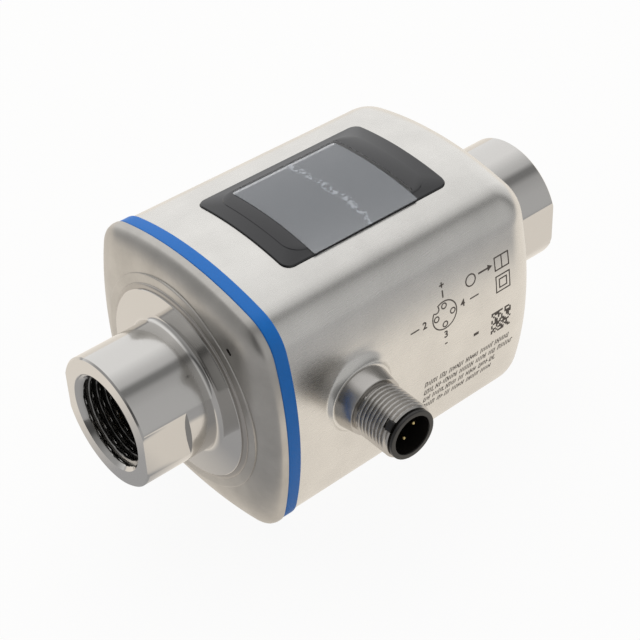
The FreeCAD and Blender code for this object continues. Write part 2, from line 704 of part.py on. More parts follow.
# ---------------------------------------------------------------- measuring tube
def measuring_tube():
    """Plastic flow tube with seal grooves, electrode seats and a sensor pocket."""
    start = SOCKET_START + TUBE_END_GAP
    shoulder = NECK_END + TUBE_END_GAP
    groove_floor = SOCKET_RADIUS - TUBE_SEAL_SECTION - FACE_FIT
    groove = (SOCKET_START + TUBE_SEAL_OFFSET - TUBE_SEAL_SECTION,
              SOCKET_START + TUBE_SEAL_OFFSET + TUBE_SEAL_SECTION)
    half = turned([
        (start, PASSAGE_RADIUS),
        (start, TUBE_END_RADIUS),
        (groove[0], TUBE_END_RADIUS),
        (groove[0], groove_floor),
        (groove[1], groove_floor),
        (groove[1], TUBE_END_RADIUS),
        (shoulder, TUBE_END_RADIUS),
        (shoulder, TUBE_RADIUS),
        (MIDDLE_X, TUBE_RADIUS),
        (MIDDLE_X, PASSAGE_RADIUS),
    ])
    tube = half.fuse(to_outlet(half))
    for side in (-1, 1):
        outward = ALONG_Y * side
        centre = FreeCAD.Vector(MIDDLE_X, 0, 0)
        seat = centre + outward * ELECTRODE_FLAT
        tube = tube.cut(rod(seat, outward, ELECTRODE_NUT_FLATS, TUBE_RADIUS))
        tube = tube.cut(rod(centre, outward, ELECTRODE_RADIUS + PIN_FIT, TUBE_RADIUS))
        ring_seat = centre + outward * (ELECTRODE_FLAT - ELECTRODE_SEAL_SECTION)
        ring_radius = ELECTRODE_RADIUS + PIN_FIT + ELECTRODE_SEAL_SECTION
        tube = tube.cut(rod(ring_seat, outward, ring_radius + PIN_FIT, TUBE_RADIUS))
    pocket = FreeCAD.Vector(SENSOR_X, 0, TUBE_RADIUS - SENSOR_DEPTH)
    tube = tube.cut(rod(pocket, ALONG_Z, SENSOR_RADIUS + PIN_FIT, TUBE_RADIUS))
    return one_solid(tube)


def tube_seal():
    """Sealing ring in the inlet groove of the measuring tube."""
    radius = SOCKET_RADIUS - TUBE_SEAL_SECTION / 2 - FACE_FIT / 2
    centre = FreeCAD.Vector(SOCKET_START + TUBE_SEAL_OFFSET, 0, 0)
    return Part.makeTorus(radius, TUBE_SEAL_SECTION / 2, centre, ALONG_X)


def electrode():
    """Electrode pin on the plug's side, flush with the bore, with its threaded tail."""
    start = FreeCAD.Vector(MIDDLE_X, -PASSAGE_RADIUS, 0)
    return rod(start, ALONG_Y * -1, ELECTRODE_RADIUS, ELECTRODE_REACH - PASSAGE_RADIUS)


def electrode_seal():
    """Small ring in the seat round the electrode."""
    radius = ELECTRODE_RADIUS + PIN_FIT + ELECTRODE_SEAL_SECTION / 2
    centre = FreeCAD.Vector(MIDDLE_X, -ELECTRODE_FLAT + ELECTRODE_SEAL_SECTION / 2, 0)
    return Part.makeTorus(radius, ELECTRODE_SEAL_SECTION / 2 - FACE_FIT, centre, ALONG_Y)


def electrode_nut():
    """Hexagon nut that draws the electrode against its seal."""
    start = FreeCAD.Vector(MIDDLE_X, -ELECTRODE_FLAT - FACE_FIT, 0)
    nut = hex_prism(start, ALONG_Y * -1, ELECTRODE_NUT_FLATS, ELECTRODE_NUT_THICKNESS)
    return nut.cut(rod(start, ALONG_Y * -1, ELECTRODE_RADIUS + PIN_FIT, ELECTRODE_NUT_THICKNESS))


def temperature_sensor():
    """Headed sensor pin standing in its pocket on top of the tube."""
    bottom = FreeCAD.Vector(SENSOR_X, 0, TUBE_RADIUS - SENSOR_DEPTH + FACE_FIT)
    head = FreeCAD.Vector(SENSOR_X, 0, TUBE_RADIUS + FACE_FIT)
    pin = rod(bottom, ALONG_Z, SENSOR_RADIUS, SENSOR_DEPTH)
    return one_solid(pin.fuse(rod(head, ALONG_Z, SENSOR_HEAD_RADIUS, SENSOR_HEAD_HEIGHT)))


# ---------------------------------------------------------------- magnet
def magnet_pole():
    """Upper pole: shoe that saddles the tube and a round core up to the yoke."""
    shoe = block(around(MIDDLE_X, POLE_LENGTH), around(0, POLE_WIDTH),
                 (0, POLE_SHOE_TOP))
    shoe = shoe.cut(rod(ORIGIN, ALONG_X, TUBE_RADIUS + SADDLE_FIT, FACE_TO_FACE))
    top = FreeCAD.Vector(MIDDLE_X, 0, POLE_SHOE_TOP - YOKE_THICKNESS / 2)
    core = rod(top, ALONG_Z, POLE_CORE_RADIUS, YOKE_INNER - top.z)
    return one_solid(shoe.fuse(core))


def coil_bobbin():
    """Flanged spool round the upper core."""
    base = FreeCAD.Vector(MIDDLE_X, 0, POLE_SHOE_TOP + FACE_FIT)
    upper = base + ALONG_Z * (BOBBIN_HEIGHT - BOBBIN_WALL - FACE_FIT)
    hub = POLE_CORE_RADIUS + COIL_FIT + BOBBIN_WALL
    spool = rod(base, ALONG_Z, BOBBIN_RADIUS, BOBBIN_WALL)
    spool = spool.fuse(rod(base, ALONG_Z, hub, BOBBIN_HEIGHT - FACE_FIT))
    spool = spool.fuse(rod(upper, ALONG_Z, BOBBIN_RADIUS, BOBBIN_WALL))
    return one_solid(spool.cut(rod(base, ALONG_Z, POLE_CORE_RADIUS + COIL_FIT, BOBBIN_HEIGHT)))


def magnet_coil():
    """Winding of the upper coil between the flanges of its bobbin."""
    hub = POLE_CORE_RADIUS + 2 * COIL_FIT + BOBBIN_WALL
    base = FreeCAD.Vector(MIDDLE_X, 0, POLE_SHOE_TOP + BOBBIN_WALL + 2 * FACE_FIT)
    height = BOBBIN_HEIGHT - 2 * BOBBIN_WALL - 4 * FACE_FIT
    winding = rod(base, ALONG_Z, COIL_RADIUS, height)
    return winding.cut(rod(base, ALONG_Z, hub, height))


def magnet_yoke():
    """Upper half of the magnetic return: a bent strip over the coil, down both sides."""
    span = around(MIDDLE_X, POLE_LENGTH)
    outer = block(span, (-YOKE_HALF, YOKE_HALF), (FACE_FIT / 2, YOKE_TOP))
    inner_half = YOKE_HALF - YOKE_THICKNESS
    inner = block(span, (-inner_half, inner_half), (-1, YOKE_INNER))
    outer = outer.makeFillet(YOKE_BEND, strip_edges(outer, YOKE_TOP))
    inner = inner.makeFillet(YOKE_BEND - YOKE_THICKNESS / 2, strip_edges(inner, YOKE_INNER))
    return one_solid(outer.cut(inner))


def strip_edges(shape, height):
    """Edges along X at a height, which a bend rounds off."""
    return [edge for edge in edges_along(shape, ALONG_X)
            if abs(edge.Vertexes[0].Z - height) < TOLERANCE]


# ---------------------------------------------------------------- electronics
def boss_places():
    """Centres of the four bosses that hold the main board."""
    x_reach = BOARD_LENGTH / 2 - BOSS_INSET
    y_reach = BOARD_WIDTH / 2 - BOSS_INSET
    return [FreeCAD.Vector(MIDDLE_X + x_side * x_reach, y_side * y_reach, 0)
            for x_side in (-1, 1) for y_side in (-1, 1)]


def board_carrier():
    """Moulded plate on the yoke, with clips down its sides and bosses for the board."""
    length = BOARD_LENGTH - 2 * CARRIER_MARGIN
    width = BOARD_WIDTH - 2 * CARRIER_MARGIN
    carrier = block(around(MIDDLE_X, length), around(0, width),
                    (YOKE_TOP + FACE_FIT, CARRIER_TOP))
    inner = YOKE_HALF + CLIP_FIT
    for side in (-1, 1):
        clip = sorted((side * inner, side * (inner + CLIP_THICKNESS)))
        carrier = carrier.fuse(block(around(MIDDLE_X, POLE_LENGTH), clip,
                                     (YOKE_TOP - CLIP_DEPTH, CARRIER_TOP)))
    for place in boss_places():
        bottom = place + ALONG_Z * (CARRIER_TOP - BOSS_DEPTH)
        carrier = carrier.fuse(rod(bottom, ALONG_Z, BOSS_RADIUS, BOSS_DEPTH + BOSS_HEIGHT))
        carrier = carrier.cut(rod(bottom, ALONG_Z, SCREW_RADIUS + PIN_FIT, REACH))
    return one_solid(carrier)


def main_board():
    """Main board with its screw holes and three larger chips."""
    board = block(around(MIDDLE_X, BOARD_LENGTH), around(0, BOARD_WIDTH),
                  (BOARD_BOTTOM + FACE_FIT, BOARD_TOP))
    for place in boss_places():
        board = board.cut(rod(place, ALONG_Z, SCREW_RADIUS + PIN_FIT, REACH))
    return one_solid(board)


def board_chips():
    """Three square chips in a row on the main board."""
    chips = []
    for step in (-1, 0, 1):
        middle = MIDDLE_X + step * CHIP_PITCH
        chips.append(block(around(middle, CHIP_SIZE), around(-CHIP_SIZE, CHIP_SIZE),
                           (BOARD_TOP, BOARD_TOP + CHIP_HEIGHT)))
    return Part.makeCompound(chips)


def board_link():
    """Connector between the main board and the display's board."""
    return block(around(WINDOW_CENTRE_X, LINK_LENGTH), around(CHIP_SIZE, LINK_WIDTH),
                 (BOARD_TOP, DISPLAY_BOARD_BOTTOM))


def board_screws():
    """Four pan head screws that hold the main board on the carrier."""
    screws = []
    for place in boss_places():
        head = place + ALONG_Z * BOARD_TOP
        tip = place + ALONG_Z * (CARRIER_TOP - BOSS_DEPTH)
        shank = rod(tip, ALONG_Z, SCREW_RADIUS, BOARD_TOP - tip.z)
        cap = rod(head + ALONG_Z * FACE_FIT, ALONG_Z, SCREW_HEAD_RADIUS, SCREW_HEAD_HEIGHT)
        shank = shank.fuse(rod(head, ALONG_Z, SCREW_RADIUS, FACE_FIT))
        screws.append(one_solid(shank.fuse(cap)))
    return Part.makeCompound(screws)


# ---------------------------------------------------------------- assembly
def all_pieces():
    """Every piece of the meter by its node name."""
    inlet = process_fitting()
    bead = weld_bead()
    ring = tube_seal()
    pieces = {
        "inlet_fitting": inlet,
        "outlet_fitting": to_outlet(inlet),
        "inlet_weld": bead,
        "outlet_weld": to_outlet(bead),
        "front_cap": front_cap(),
        "seal_ring": seal_ring(),
        "housing": housing(),
        "window_lens": window_lens(),
        "window_seal": window_seal(),
        "window_mask": window_mask(),
        "protective_film": protective_film(),
        "display_module": display_module(),
        "display_board": display_board(),
        "display_frame": display_frame(),
        "plug_shell": plug_shell(),
        "plug_seal": plug_seal(),
        "plug_nut": plug_nut(),
        "plug_insert": plug_insert(),
        "plug_board": plug_board(),
        "measuring_tube": measuring_tube(),
        "inlet_tube_seal": ring,
        "outlet_tube_seal": to_outlet(ring),
        "temperature_sensor": temperature_sensor(),
        "board_carrier": board_carrier(),
        "main_board": main_board(),
        "board_chips": board_chips(),
        "board_link": board_link(),
        "board_screws": board_screws(),
    }
    for number, (across, up) in enumerate(contact_places(), 1):
        pieces["plug_contact_%d" % number] = contact_pin(across, up)
    near = {"electrode": electrode(), "electrode_seal": electrode_seal(),
            "electrode_nut": electrode_nut()}
    for name, shape in near.items():
        pieces["near_" + name] = shape
        pieces["far_" + name] = shape.mirror(ORIGIN, ALONG_Y)
    upper = {"pole": magnet_pole(), "bobbin": coil_bobbin(), "coil": magnet_coil(),
             "yoke": magnet_yoke()}
    for name, shape in upper.items():
        pieces["upper_" + name] = shape
        pieces["lower_" + name] = upright(shape)
    return pieces


def main():
    os.makedirs("parts", exist_ok=True)
    for name, shape in all_pieces().items():
        shape.exportStep(os.path.join("parts", name + ".step"))
        print(name, "solids", len(shape.Solids), "volume", round(shape.Volume, 2),
              "valid", shape.isValid())


main()
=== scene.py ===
import functools
import json
import math

import bmesh
import bpy
import numpy as np
from mathutils import Matrix, Vector
from mathutils.geometry import delaunay_2d_cdt


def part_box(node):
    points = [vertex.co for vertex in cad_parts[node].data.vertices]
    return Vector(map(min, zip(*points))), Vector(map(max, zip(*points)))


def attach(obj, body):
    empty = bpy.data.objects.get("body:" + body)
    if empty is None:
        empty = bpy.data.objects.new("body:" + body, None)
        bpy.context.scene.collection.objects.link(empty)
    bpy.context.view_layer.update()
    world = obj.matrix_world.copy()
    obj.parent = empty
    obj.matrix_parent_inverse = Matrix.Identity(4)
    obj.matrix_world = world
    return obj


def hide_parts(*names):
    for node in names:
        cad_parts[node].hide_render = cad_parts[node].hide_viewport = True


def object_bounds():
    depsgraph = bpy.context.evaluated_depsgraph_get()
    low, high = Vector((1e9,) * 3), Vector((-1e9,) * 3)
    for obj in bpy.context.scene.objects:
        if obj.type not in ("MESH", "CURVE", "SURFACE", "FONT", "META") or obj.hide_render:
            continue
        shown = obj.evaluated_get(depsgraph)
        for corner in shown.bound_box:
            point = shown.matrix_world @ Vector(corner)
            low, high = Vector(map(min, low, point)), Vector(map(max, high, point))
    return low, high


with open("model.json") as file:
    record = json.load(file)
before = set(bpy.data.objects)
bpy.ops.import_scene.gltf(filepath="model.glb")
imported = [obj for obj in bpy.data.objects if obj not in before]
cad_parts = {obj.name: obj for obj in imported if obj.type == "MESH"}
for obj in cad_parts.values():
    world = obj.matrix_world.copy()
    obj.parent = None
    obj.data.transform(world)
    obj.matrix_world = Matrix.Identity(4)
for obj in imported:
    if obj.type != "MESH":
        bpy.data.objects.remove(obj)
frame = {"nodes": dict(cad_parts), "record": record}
CAD_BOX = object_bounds()

bl_info = {
    "name": "Electromagnetic flow meter",
    "version": (1, 0, 0),
    "blender": (4, 5, 0),
    "location": "3D View > Sidebar > Flow meter",
    "description": "Builds a compact in-line flow meter with a display and a round plug",
    "category": "Add Mesh",
}

MM = 0.001
HAIR = 0.001 * MM                   # gap that keeps two rings or sides apart
SMOOTH_ANGLE = math.radians(28)     # edges that bend more than this are sharp

# How finely the pieces are divided.
SIDE_STEPS = 56                     # across a crowned side
FLOW_ROWS = 56                      # rows along the housing
CORNER_STEPS = 20                   # round a long corner
TURN_STEPS = 192                    # round a fitting
PLUG_STEPS = 160                    # round the plug's body
INSERT_STEPS = 128                  # round the plug's insert
PIN_STEPS = 28                      # round a contact
WELD_STEPS = 720                    # round a weld seam
NECK_STEPS = 96                     # round the plug's neck
THREAD_STEPS = 18                   # rings to one turn of a thread
ROUND_STEPS = 6                     # round a small edge
END_STEPS = 18                      # round the housing's closed end
FACE_STEPS = 6                      # from the end's rim to its hole
DISH_ROWS = 34                      # from the cap's seat to its rim
DISH_STOPS = 40                     # stops that the cap's shoulder is worked out at
CLOSING_STEPS = 14                  # from an outline in to its middle strip
COVER_STEPS = 30                    # along a side of the cover
FILM_STEPS = 20                     # along a side of the film
OPENING_STEPS = 36                  # along a side of the window opening


@functools.lru_cache(maxsize=None)
def box_of(node):
    """Lowest and highest corner of a CAD node."""
    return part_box(node)


def linear(code):
    """Linear colour of an sRGB hex value."""
    levels = [int(code[i:i + 2], 16) / 255 for i in (1, 3, 5)]
    return tuple(v / 12.92 if v <= 0.04045 else ((v + 0.055) / 1.055) ** 2.4 for v in levels)


def length(title, description, default):
    """Length property from a value in millimetres."""
    return bpy.props.FloatProperty(name=title, description=description, default=default * MM,
                                   min=0.0, unit="LENGTH", precision=5)


def colour(title, description, code):
    """Colour property from an sRGB hex value."""
    return bpy.props.FloatVectorProperty(name=title, description=description, size=3, min=0.0,
                                         max=1.0, subtype="COLOR", default=linear(code))


# ---------------------------------------------------------------- properties
class CasingSizes(bpy.types.PropertyGroup):
    """Sizes of the drawn housing, its cap and the ring between them."""

    crown: length("Crown radius", "Radius of the four crowned sides", 79.5)
    corner: length("Corner radius", "Radius of the long corners", 9.3)
    sheet: length("Sheet", "Thickness of the drawn sheet", 1.2)
    draft: length("Draft", "How much narrower each side is at the outlet end", 0.6)
    end_round: length("End round", "Radius round the closed end", 8.4)
    cap_lip: length("Cap lip", "Straight lip at the cap's rim", 0.8)
    cap_flat: length("Cap flat", "Half width of the cap's flat face", 20.6)
    emboss_radius: length("Embossed seat", "Radius of the cap's raised round seat", 24.0)
    emboss_height: length("Seat height", "Height of the raised round seat", 0.2)
    neck: length("Neck hole", "Radius of the holes for the fittings", 13.1)
    slot_length: length("Slot length", "Length of the cap's small slot", 1.6)
    slot_width: length("Slot width", "Width of the cap's small slot", 0.8)
    slot_radius: length("Slot place", "Distance of the slot from the flow axis", 26.1)
    slot_angle: bpy.props.FloatProperty(name="Slot angle", description="Slot's angle from the top",
                                        default=math.radians(43), subtype="ANGLE")


class PortSizes(bpy.types.PropertyGroup):
    """Sizes of the two turned process fittings."""

    radius: length("Port radius", "Outer radius of the port", 14.25)
    rim: length("Rim chamfer", "Chamfer round the port's rim", 0.35)
    flats: length("Across flats", "Distance between the two wrench flats", 26.4)
    flat_length: length("Flat length", "Length of the wrench flats", 10.3)
    minor: length("Thread minor radius", "Inner radius of the G 1/2 thread", 9.3155)
    pitch: length("Thread pitch", "Pitch of the G 1/2 thread", 1.814)
    thread_height: length("Thread height", "Depth of the G 1/2 thread", 1.162)
    thread_depth: length("Thread depth", "Depth of the threaded hole", 14.0)
    mouth: length("Mouth radius", "Radius of the countersunk mouth", 10.7)
    passage: length("Passage radius", "Radius of the flow passage", 6.75)
    disc_face: length("Disc place", "Distance of the weld disc from the port's mouth", 17.2)
    disc_thickness: length("Disc thickness", "Thickness of the weld disc", 0.8)
    disc_root: length("Disc root", "Fillet between port and disc", 1.2)
    bead_width: length("Weld width", "Width of the weld seam", 1.1)
    bead_height: length("Weld height", "Height of the weld seam", 0.45)


class WindowSizes(bpy.types.PropertyGroup):
    """Sizes of the display cover and its film."""

    long_side: length("Opening length", "Length of the opening along the flow", 42.2)
    short_side: length("Opening width", "Width of the opening", 28.9)
    corner: length("Opening corner", "Corner radius of the opening", 2.2)
    fit: length("Fit", "Gap round the cover", 0.12)
    proud: length("Proud", "How far the cover stands out", 0.35)
    edge: length("Edge round", "Radius round the cover's edge", 0.2)
    depth: length("Cover depth", "How deep the cover reaches in", 2.4)
    pad_length: length("Pad length", "Length of the cover's raised middle", 35.2)
    pad_width: length("Pad width", "Width of the cover's raised middle", 25.0)
    pad_corner: length("Pad corner", "Corner radius of the raised middle", 4.0)
    pad_height: length("Pad height", "Height of the raised middle", 0.15)
    film: length("Film", "Thickness of the peel-off film", 0.08)
    screen_length: length("Screen length", "Length of the clear screen opening", 27.0)
    screen_width: length("Screen width", "Width of the clear screen opening", 24.0)


class PlugSizes(bpy.types.PropertyGroup):
    """Sizes of the round M12 plug."""

    neck_foot: length("Neck foot", "Radius where the drawn neck starts", 10.4)
    neck_wall: length("Neck wall", "Radius of the neck's wall below its lip", 7.65)
    neck_top: length("Neck top", "Radius of the neck's flat rim", 7.3)
    neck_height: length("Neck height", "Height of the neck over the side", 1.0)
    neck_lip: length("Neck lip", "Height of the rounded lip", 0.2)
    neck_drop: length("Neck drop", "Depth of the neck's foot below the side", 0.7)
    neck_hollow: length("Neck hollow", "How far the neck's flank is hollowed", 0.5)
    bore: length("Body radius", "Radius of the plug's body", 6.5)
    collar: length("Collar radius", "Radius of the collar at its foot", 7.05)
    collar_tip: length("Collar tip", "Radius of the collar at its tip", 6.4)
    collar_length: length("Collar length", "Length of the collar", 3.95)
    undercut: length("Undercut radius", "Radius of the undercut behind the thread", 5.55)
    undercut_length: length("Undercut length", "Length of the undercut", 0.65)
    major: length("Thread radius", "Outer radius of the M12 thread", 5.985)
    pitch: length("Thread pitch", "Pitch of the M12 thread", 1.0)
    thread_height: length("Thread height", "Depth of the M12 thread", 0.58)
    lip: length("Lip radius", "Outer radius of the insert's lip", 5.43)
    cavity: length("Cavity radius", "Radius of the insert's cavity", 4.24)
    cavity_depth: length("Cavity depth", "Depth of the insert's cavity", 8.6)
    shell_bore: length("Shell bore", "Radius of the shell's bore", 4.95)
    key_width: length("Key width", "Width of the outer key", 2.1)
    key_length: length("Key length", "Length of the outer key", 1.3)
    key_angle: bpy.props.FloatProperty(name="Key angle", description="Key's angle round the plug",
                                       default=math.radians(137), subtype="ANGLE")
    contact_circle: length("Contact circle", "Radius of the circle of contacts", 2.5)
    contact: length("Contact radius", "Radius of a contact", 0.5)
    contacts: bpy.props.IntProperty(name="Contacts", description="Number of contacts", default=4)


class MeterColours(bpy.types.PropertyGroup):
    """Colours of the surfaces that show."""

    steel: colour("Drawn steel", "Satin stainless sheet", "#DCDAD6")
    cap: colour("Tumbled steel", "Matt tumbled stainless sheet", "#C2BFBA")
    turned: colour("Turned steel", "Fine turned stainless bar", "#CFCDCA")
    weld: colour("Weld steel", "Weld metal", "#B4B0AB")
    silicone: colour("Silicone", "Blue sealing ring", "#0870C8")
    plated: colour("Plated metal", "Nickel plated plug shell", "#B9B6B2")
    insert: colour("Black plastic", "Moulded insert of the plug", "#1A1817")
    gold: colour("Gold plate", "Plated contacts", "#DCC68E")
    print: colour("Black print", "Print under the cover", "#1D1D20")
    screen: colour("Screen", "Display panel when it is off", "#5C615F")
    film: colour("Film", "Haze of the peel-off film", "#E0E6EE")
    marking: colour("Marking", "Laser marking on the side", "#4B423C")


# ---------------------------------------------------------------- meshes
def settings(name):
    """Property group of the scene by its name."""
    return getattr(bpy.context.scene, name)


def new_object(name, mesh, material):
    """Object of a finished mesh with its material, riding on the meter's body."""
    piece = bpy.data.objects.new(name, mesh)
    bpy.context.scene.collection.objects.link(piece)
    mesh.materials.append(material)
    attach(piece, "root")
    return piece


def smooth_mesh(name, points, faces):
    """Closed mesh with outward faces, smooth apart from its sharp edges."""
    mesh = bpy.data.meshes.new(name)
    mesh.from_pydata([tuple(p) for p in points], [], [tuple(int(i) for i in f) for f in faces])
    body = bmesh.new()
    body.from_mesh(mesh)
    bmesh.ops.remove_doubles(body, verts=body.verts, dist=1e-7)
    bmesh.ops.recalc_face_normals(body, faces=body.faces)
    body.to_mesh(mesh)
    body.free()
    mesh.shade_smooth()
    mesh.set_sharp_from_angle(angle=SMOOTH_ANGLE)
    return mesh


def loft(name, rings, through):
    """Mesh of rings joined in turn; a through body joins the last ring to the first."""
    rings = np.asarray(rings)
    count, around = rings.shape[:2]
    points = rings.reshape(-1, 3).tolist()
    faces = []
    steps = count if through else count - 1
    for i in range(steps):
        low, high = i * around, ((i + 1) % count) * around
        for j in range(around):
            k = (j + 1) % around
            faces.append((low + j, low + k, high + k, high + j))
    if not through:
        for first in (0, (count - 1) * around):
            centre = np.mean(rings[first // around], axis=0)
            points.append(centre.tolist())
            hub = len(points) - 1
            faces += [(first + j, first + (j + 1) % around, hub) for j in range(around)]
    return smooth_mesh(name, points, faces)


def arc_points(start, end, centre, steps, clockwise=False):
    """Points of a circular arc in the plane of a profile, ends included."""
    a0 = math.atan2(start[1] - centre[1], start[0] - centre[0])
    a1 = math.atan2(end[1] - centre[1], end[0] - centre[0])
    if clockwise and a1 > a0:
        a1 -= 2 * math.pi
    if not clockwise and a1 < a0:
        a1 += 2 * math.pi
    radius = math.dist(start, centre)
    return [(centre[0] + radius * math.cos(a0 + (a1 - a0) * i / steps),
             centre[1] + radius * math.sin(a0 + (a1 - a0) * i / steps)) for i in range(steps + 1)]


def turns(count=TURN_STEPS):
    """Angles round an axis."""
    return np.arange(count) * 2 * math.pi / count


def turned_ring(x, radii, angles):
    """Ring about the X axis in the plane X = x; its radius may change with the angle."""
    return np.stack([np.full(angles.shape, x), radii * np.cos(angles),
                     radii * np.sin(angles)], axis=1)


def spun(profile, angles, squeeze=None):
    """Rings about the X axis from (x, radius) pairs; squeeze limits a ring's radius by angle."""
    rings = []
    for x, radius in profile:
        radii = np.full(angles.shape, radius)
        if squeeze is not None:
            radii = squeeze(x, radii, angles)
        rings.append(turned_ring(x, radii, angles))
    return rings


def corner_centre(half, crown, corner):
    """Place of a crown's centre, place of a corner's centre along each axis, and the angle at
    which a corner starts."""
    low = half - crown
    centre = (low + np.sqrt(2 * (crown - corner) ** 2 - low ** 2)) / 2
    return low, centre, np.arctan2(centre - low, centre)


def contour(half, crown, corner, quarter, on_corner, fraction):
    """(y, z) of a crowned square at stations: quarter turn, side or corner, how far along it."""
    low, centre, sweep = corner_centre(half, crown, corner)
    side = math.pi - sweep - fraction * (math.pi - 2 * sweep)
    bend = sweep + fraction * (math.pi / 2 - 2 * sweep)
    y = np.where(on_corner, centre + corner * np.cos(bend), crown * np.cos(side))
    z = np.where(on_corner, centre + corner * np.sin(bend), low + crown * np.sin(side))
    turn = -math.pi / 2 * quarter
    return y * np.cos(turn) - z * np.sin(turn), y * np.sin(turn) + z * np.cos(turn)


def stations(quarters=range(4), sides=True, corners=True, close=False):
    """Station arrays round a crowned square, in order."""
    rows = []
    for quarter in quarters:
        for kind, steps, wanted in ((False, SIDE_STEPS, sides), (True, CORNER_STEPS, corners)):
            if wanted:
                rows += [(quarter, kind, i / steps) for i in range(steps + int(close))]
    quarter, kind, fraction = zip(*rows)
    return np.array(quarter, float), np.array(kind), np.array(fraction, float)


def crowned_ring(x, half, crown, corner, places):
    """Ring of points of a crowned square in the plane X = x."""
    y, z = contour(half, crown, corner, *places)
    return np.stack([np.full(y.shape, x), y, z], axis=1)


def contour_radius(half, crown, corner, angles):
    """Distance of a crowned square's outline from the axis, by angle from +Z."""
    low, centre, sweep = corner_centre(half, crown, corner)
    fold = np.abs((angles + math.pi / 4) % (math.pi / 2) - math.pi / 4)
    side = low * np.cos(fold) + np.sqrt(crown ** 2 - (low * np.sin(fold)) ** 2)
    reach = centre * (np.cos(fold) + np.sin(fold))
    bend = reach + np.sqrt(np.maximum(reach ** 2 - 2 * centre ** 2 + corner ** 2, 0))
    return np.where(side * np.sin(fold) <= crown * np.cos(sweep), side, bend)


def blend(low, high, amount):
    """Straight blend between two values."""
    return low + (high - low) * amount


def triangulate(points, outlines):
    """Triangles between plan points; outlines are closed runs of point numbers that stay edges."""
    edges = []
    for run in outlines:
        edges += [(run[i], run[(i + 1) % len(run)]) for i in range(len(run))]
    found = delaunay_2d_cdt([Vector(p) for p in points], edges, [], 0, 1e-9)
    origin = [ids[0] if ids else -1 for ids in found[3]]
    return [tuple(origin[v] for v in face) for face in found[2]]


def grid_faces(rows, columns):
    """Four-sided faces between the points of a grid, numbered row by row."""
    return [(i * columns + j, i * columns + j + 1, (i + 1) * columns + j + 1,
             (i + 1) * columns + j) for i in range(rows - 1) for j in range(columns - 1)]


class Skin:
    """Points, outward normals and faces of a surface round the flow axis, patch by patch."""

    def __init__(self, middle):
        self.middle = middle
        self.points = []
        self.normals = []
        self.faces = []

    def add(self, points, normals, faces):
        """Add a patch; its faces count its own points."""
        start = len(self.points)
        self.points += [tuple(p) for p in points]
        self.normals += [tuple(n) for n in normals]
        self.faces += [tuple(start + i for i in face) for face in faces]

    def add_grid(self, points):
        """Add rows of points; the normals come from the rows' own directions."""
        normals = np.cross(np.gradient(points, axis=1), np.gradient(points, axis=0))
        outward = points.mean(axis=(0, 1)) - np.array([self.middle, 0, 0])
        if np.einsum("ijk,k->ij", normals, outward).mean() < 0:
            normals = -normals
        normals /= np.linalg.norm(normals, axis=2, keepdims=True)
        self.add(points.reshape(-1, 3), normals.reshape(-1, 3), grid_faces(*points.shape[:2]))


def without_slivers(faces, points):
    """Faces without the slivers along a seam. The corners that a sliver would leave hanging on
    a neighbour's long edge go into that neighbour."""
    thin, near = 0.0002 * MM, 0.003 * MM

    def sliver(ring):
        sides = points[list(ring)] - np.roll(points[list(ring)], 1, axis=0)
        twice = np.linalg.norm(sum(np.cross(sides[i - 1], sides[i])
                                   for i in range(1, len(ring) - 1)))
        return twice < thin * np.linalg.norm(sides, axis=1).max()

    kept = [ring for ring in faces if not sliver(ring)]
    edges = {(ring[i - 1], ring[i]) for ring in kept for i in range(len(ring))}
    hanging = {edge for edge in edges if edge[::-1] not in edges}
    loose = np.array(sorted({corner for edge in hanging for corner in edge}))
    whole = []
    for ring in kept:
        corners = []
        for i, end in enumerate(ring):
            start = ring[i - 1]
            if (start, end) in hanging:
                along, reach = points[end] - points[start], points[loose] - points[start]
                part = reach @ along / (along @ along)
                off = np.linalg.norm(reach - np.outer(part, along), axis=1)
                between = (off < near) & (part > 0.01) & (part < 0.99)
                corners += [int(c) for c in loose[between][np.argsort(part[between])]]
            corners.append(end)
        whole.append(tuple(corners))
    return whole


def shell_from_skin(name, skin, depth):
    """Closed sheet of a depth under a skin, with the skin's exact normals."""
    same_place = 0.005 * MM
    keys = np.round(np.array(skin.points) / same_place).astype(np.int64)
    first, inverse = np.unique(keys, axis=0, return_index=True, return_inverse=True)[1:]
    inverse = inverse.reshape(-1)
    points, normals = np.array(skin.points)[first], np.array(skin.normals)[first]
    outer = []
    for face in skin.faces:
        ring = list(dict.fromkeys(int(inverse[i]) for i in face))
        if len(ring) < 3:
            continue
        a, b, c = points[ring[:3]]
        if np.dot(np.cross(b - a, c - a), normals[ring].sum(axis=0)) < 0:
            ring.reverse()
        outer.append(tuple(ring))
    outer = without_slivers(outer, points)
    count = len(points)
    edges = {(start, face[(i + 1) % len(face)]): None
             for face in outer for i, start in enumerate(face)}
    rims = [(b, a, a + count, b + count) for a, b in edges if (b, a) not in edges]
    inner = [tuple(i + count for i in reversed(face)) for face in outer]
    both = np.concatenate([points, points - normals * depth])
    mesh = bpy.data.meshes.new(name)
    mesh.from_pydata(both.tolist(), [], outer + inner + rims)
    mesh.shade_smooth()
    corners = [tuple(normals[i]) for face in outer for i in face]
    corners += [tuple(-normals[i - count]) for face in inner for i in face]
    for face in rims:
        a, b, c = both[list(face[:3])]
        flat = np.cross(b - a, c - a)
        size = np.linalg.norm(flat)
        corners += [tuple(flat / size if size else (0, 0, 1))] * len(face)
    mesh.normals_split_custom_set(corners)
    mesh.update()
    return mesh


# ---------------------------------------------------------------- casing
def housing_place():
    """Mouth, closed end and half width of the housing, from its node."""
    low, high = box_of("housing")
    return low.x, high.x, high.z


def half_at(x):
    """Half width of the housing at a place along the flow."""
    mouth, end, half = housing_place()
    return half - settings("casing").draft * (x - mouth) / (end - mouth)


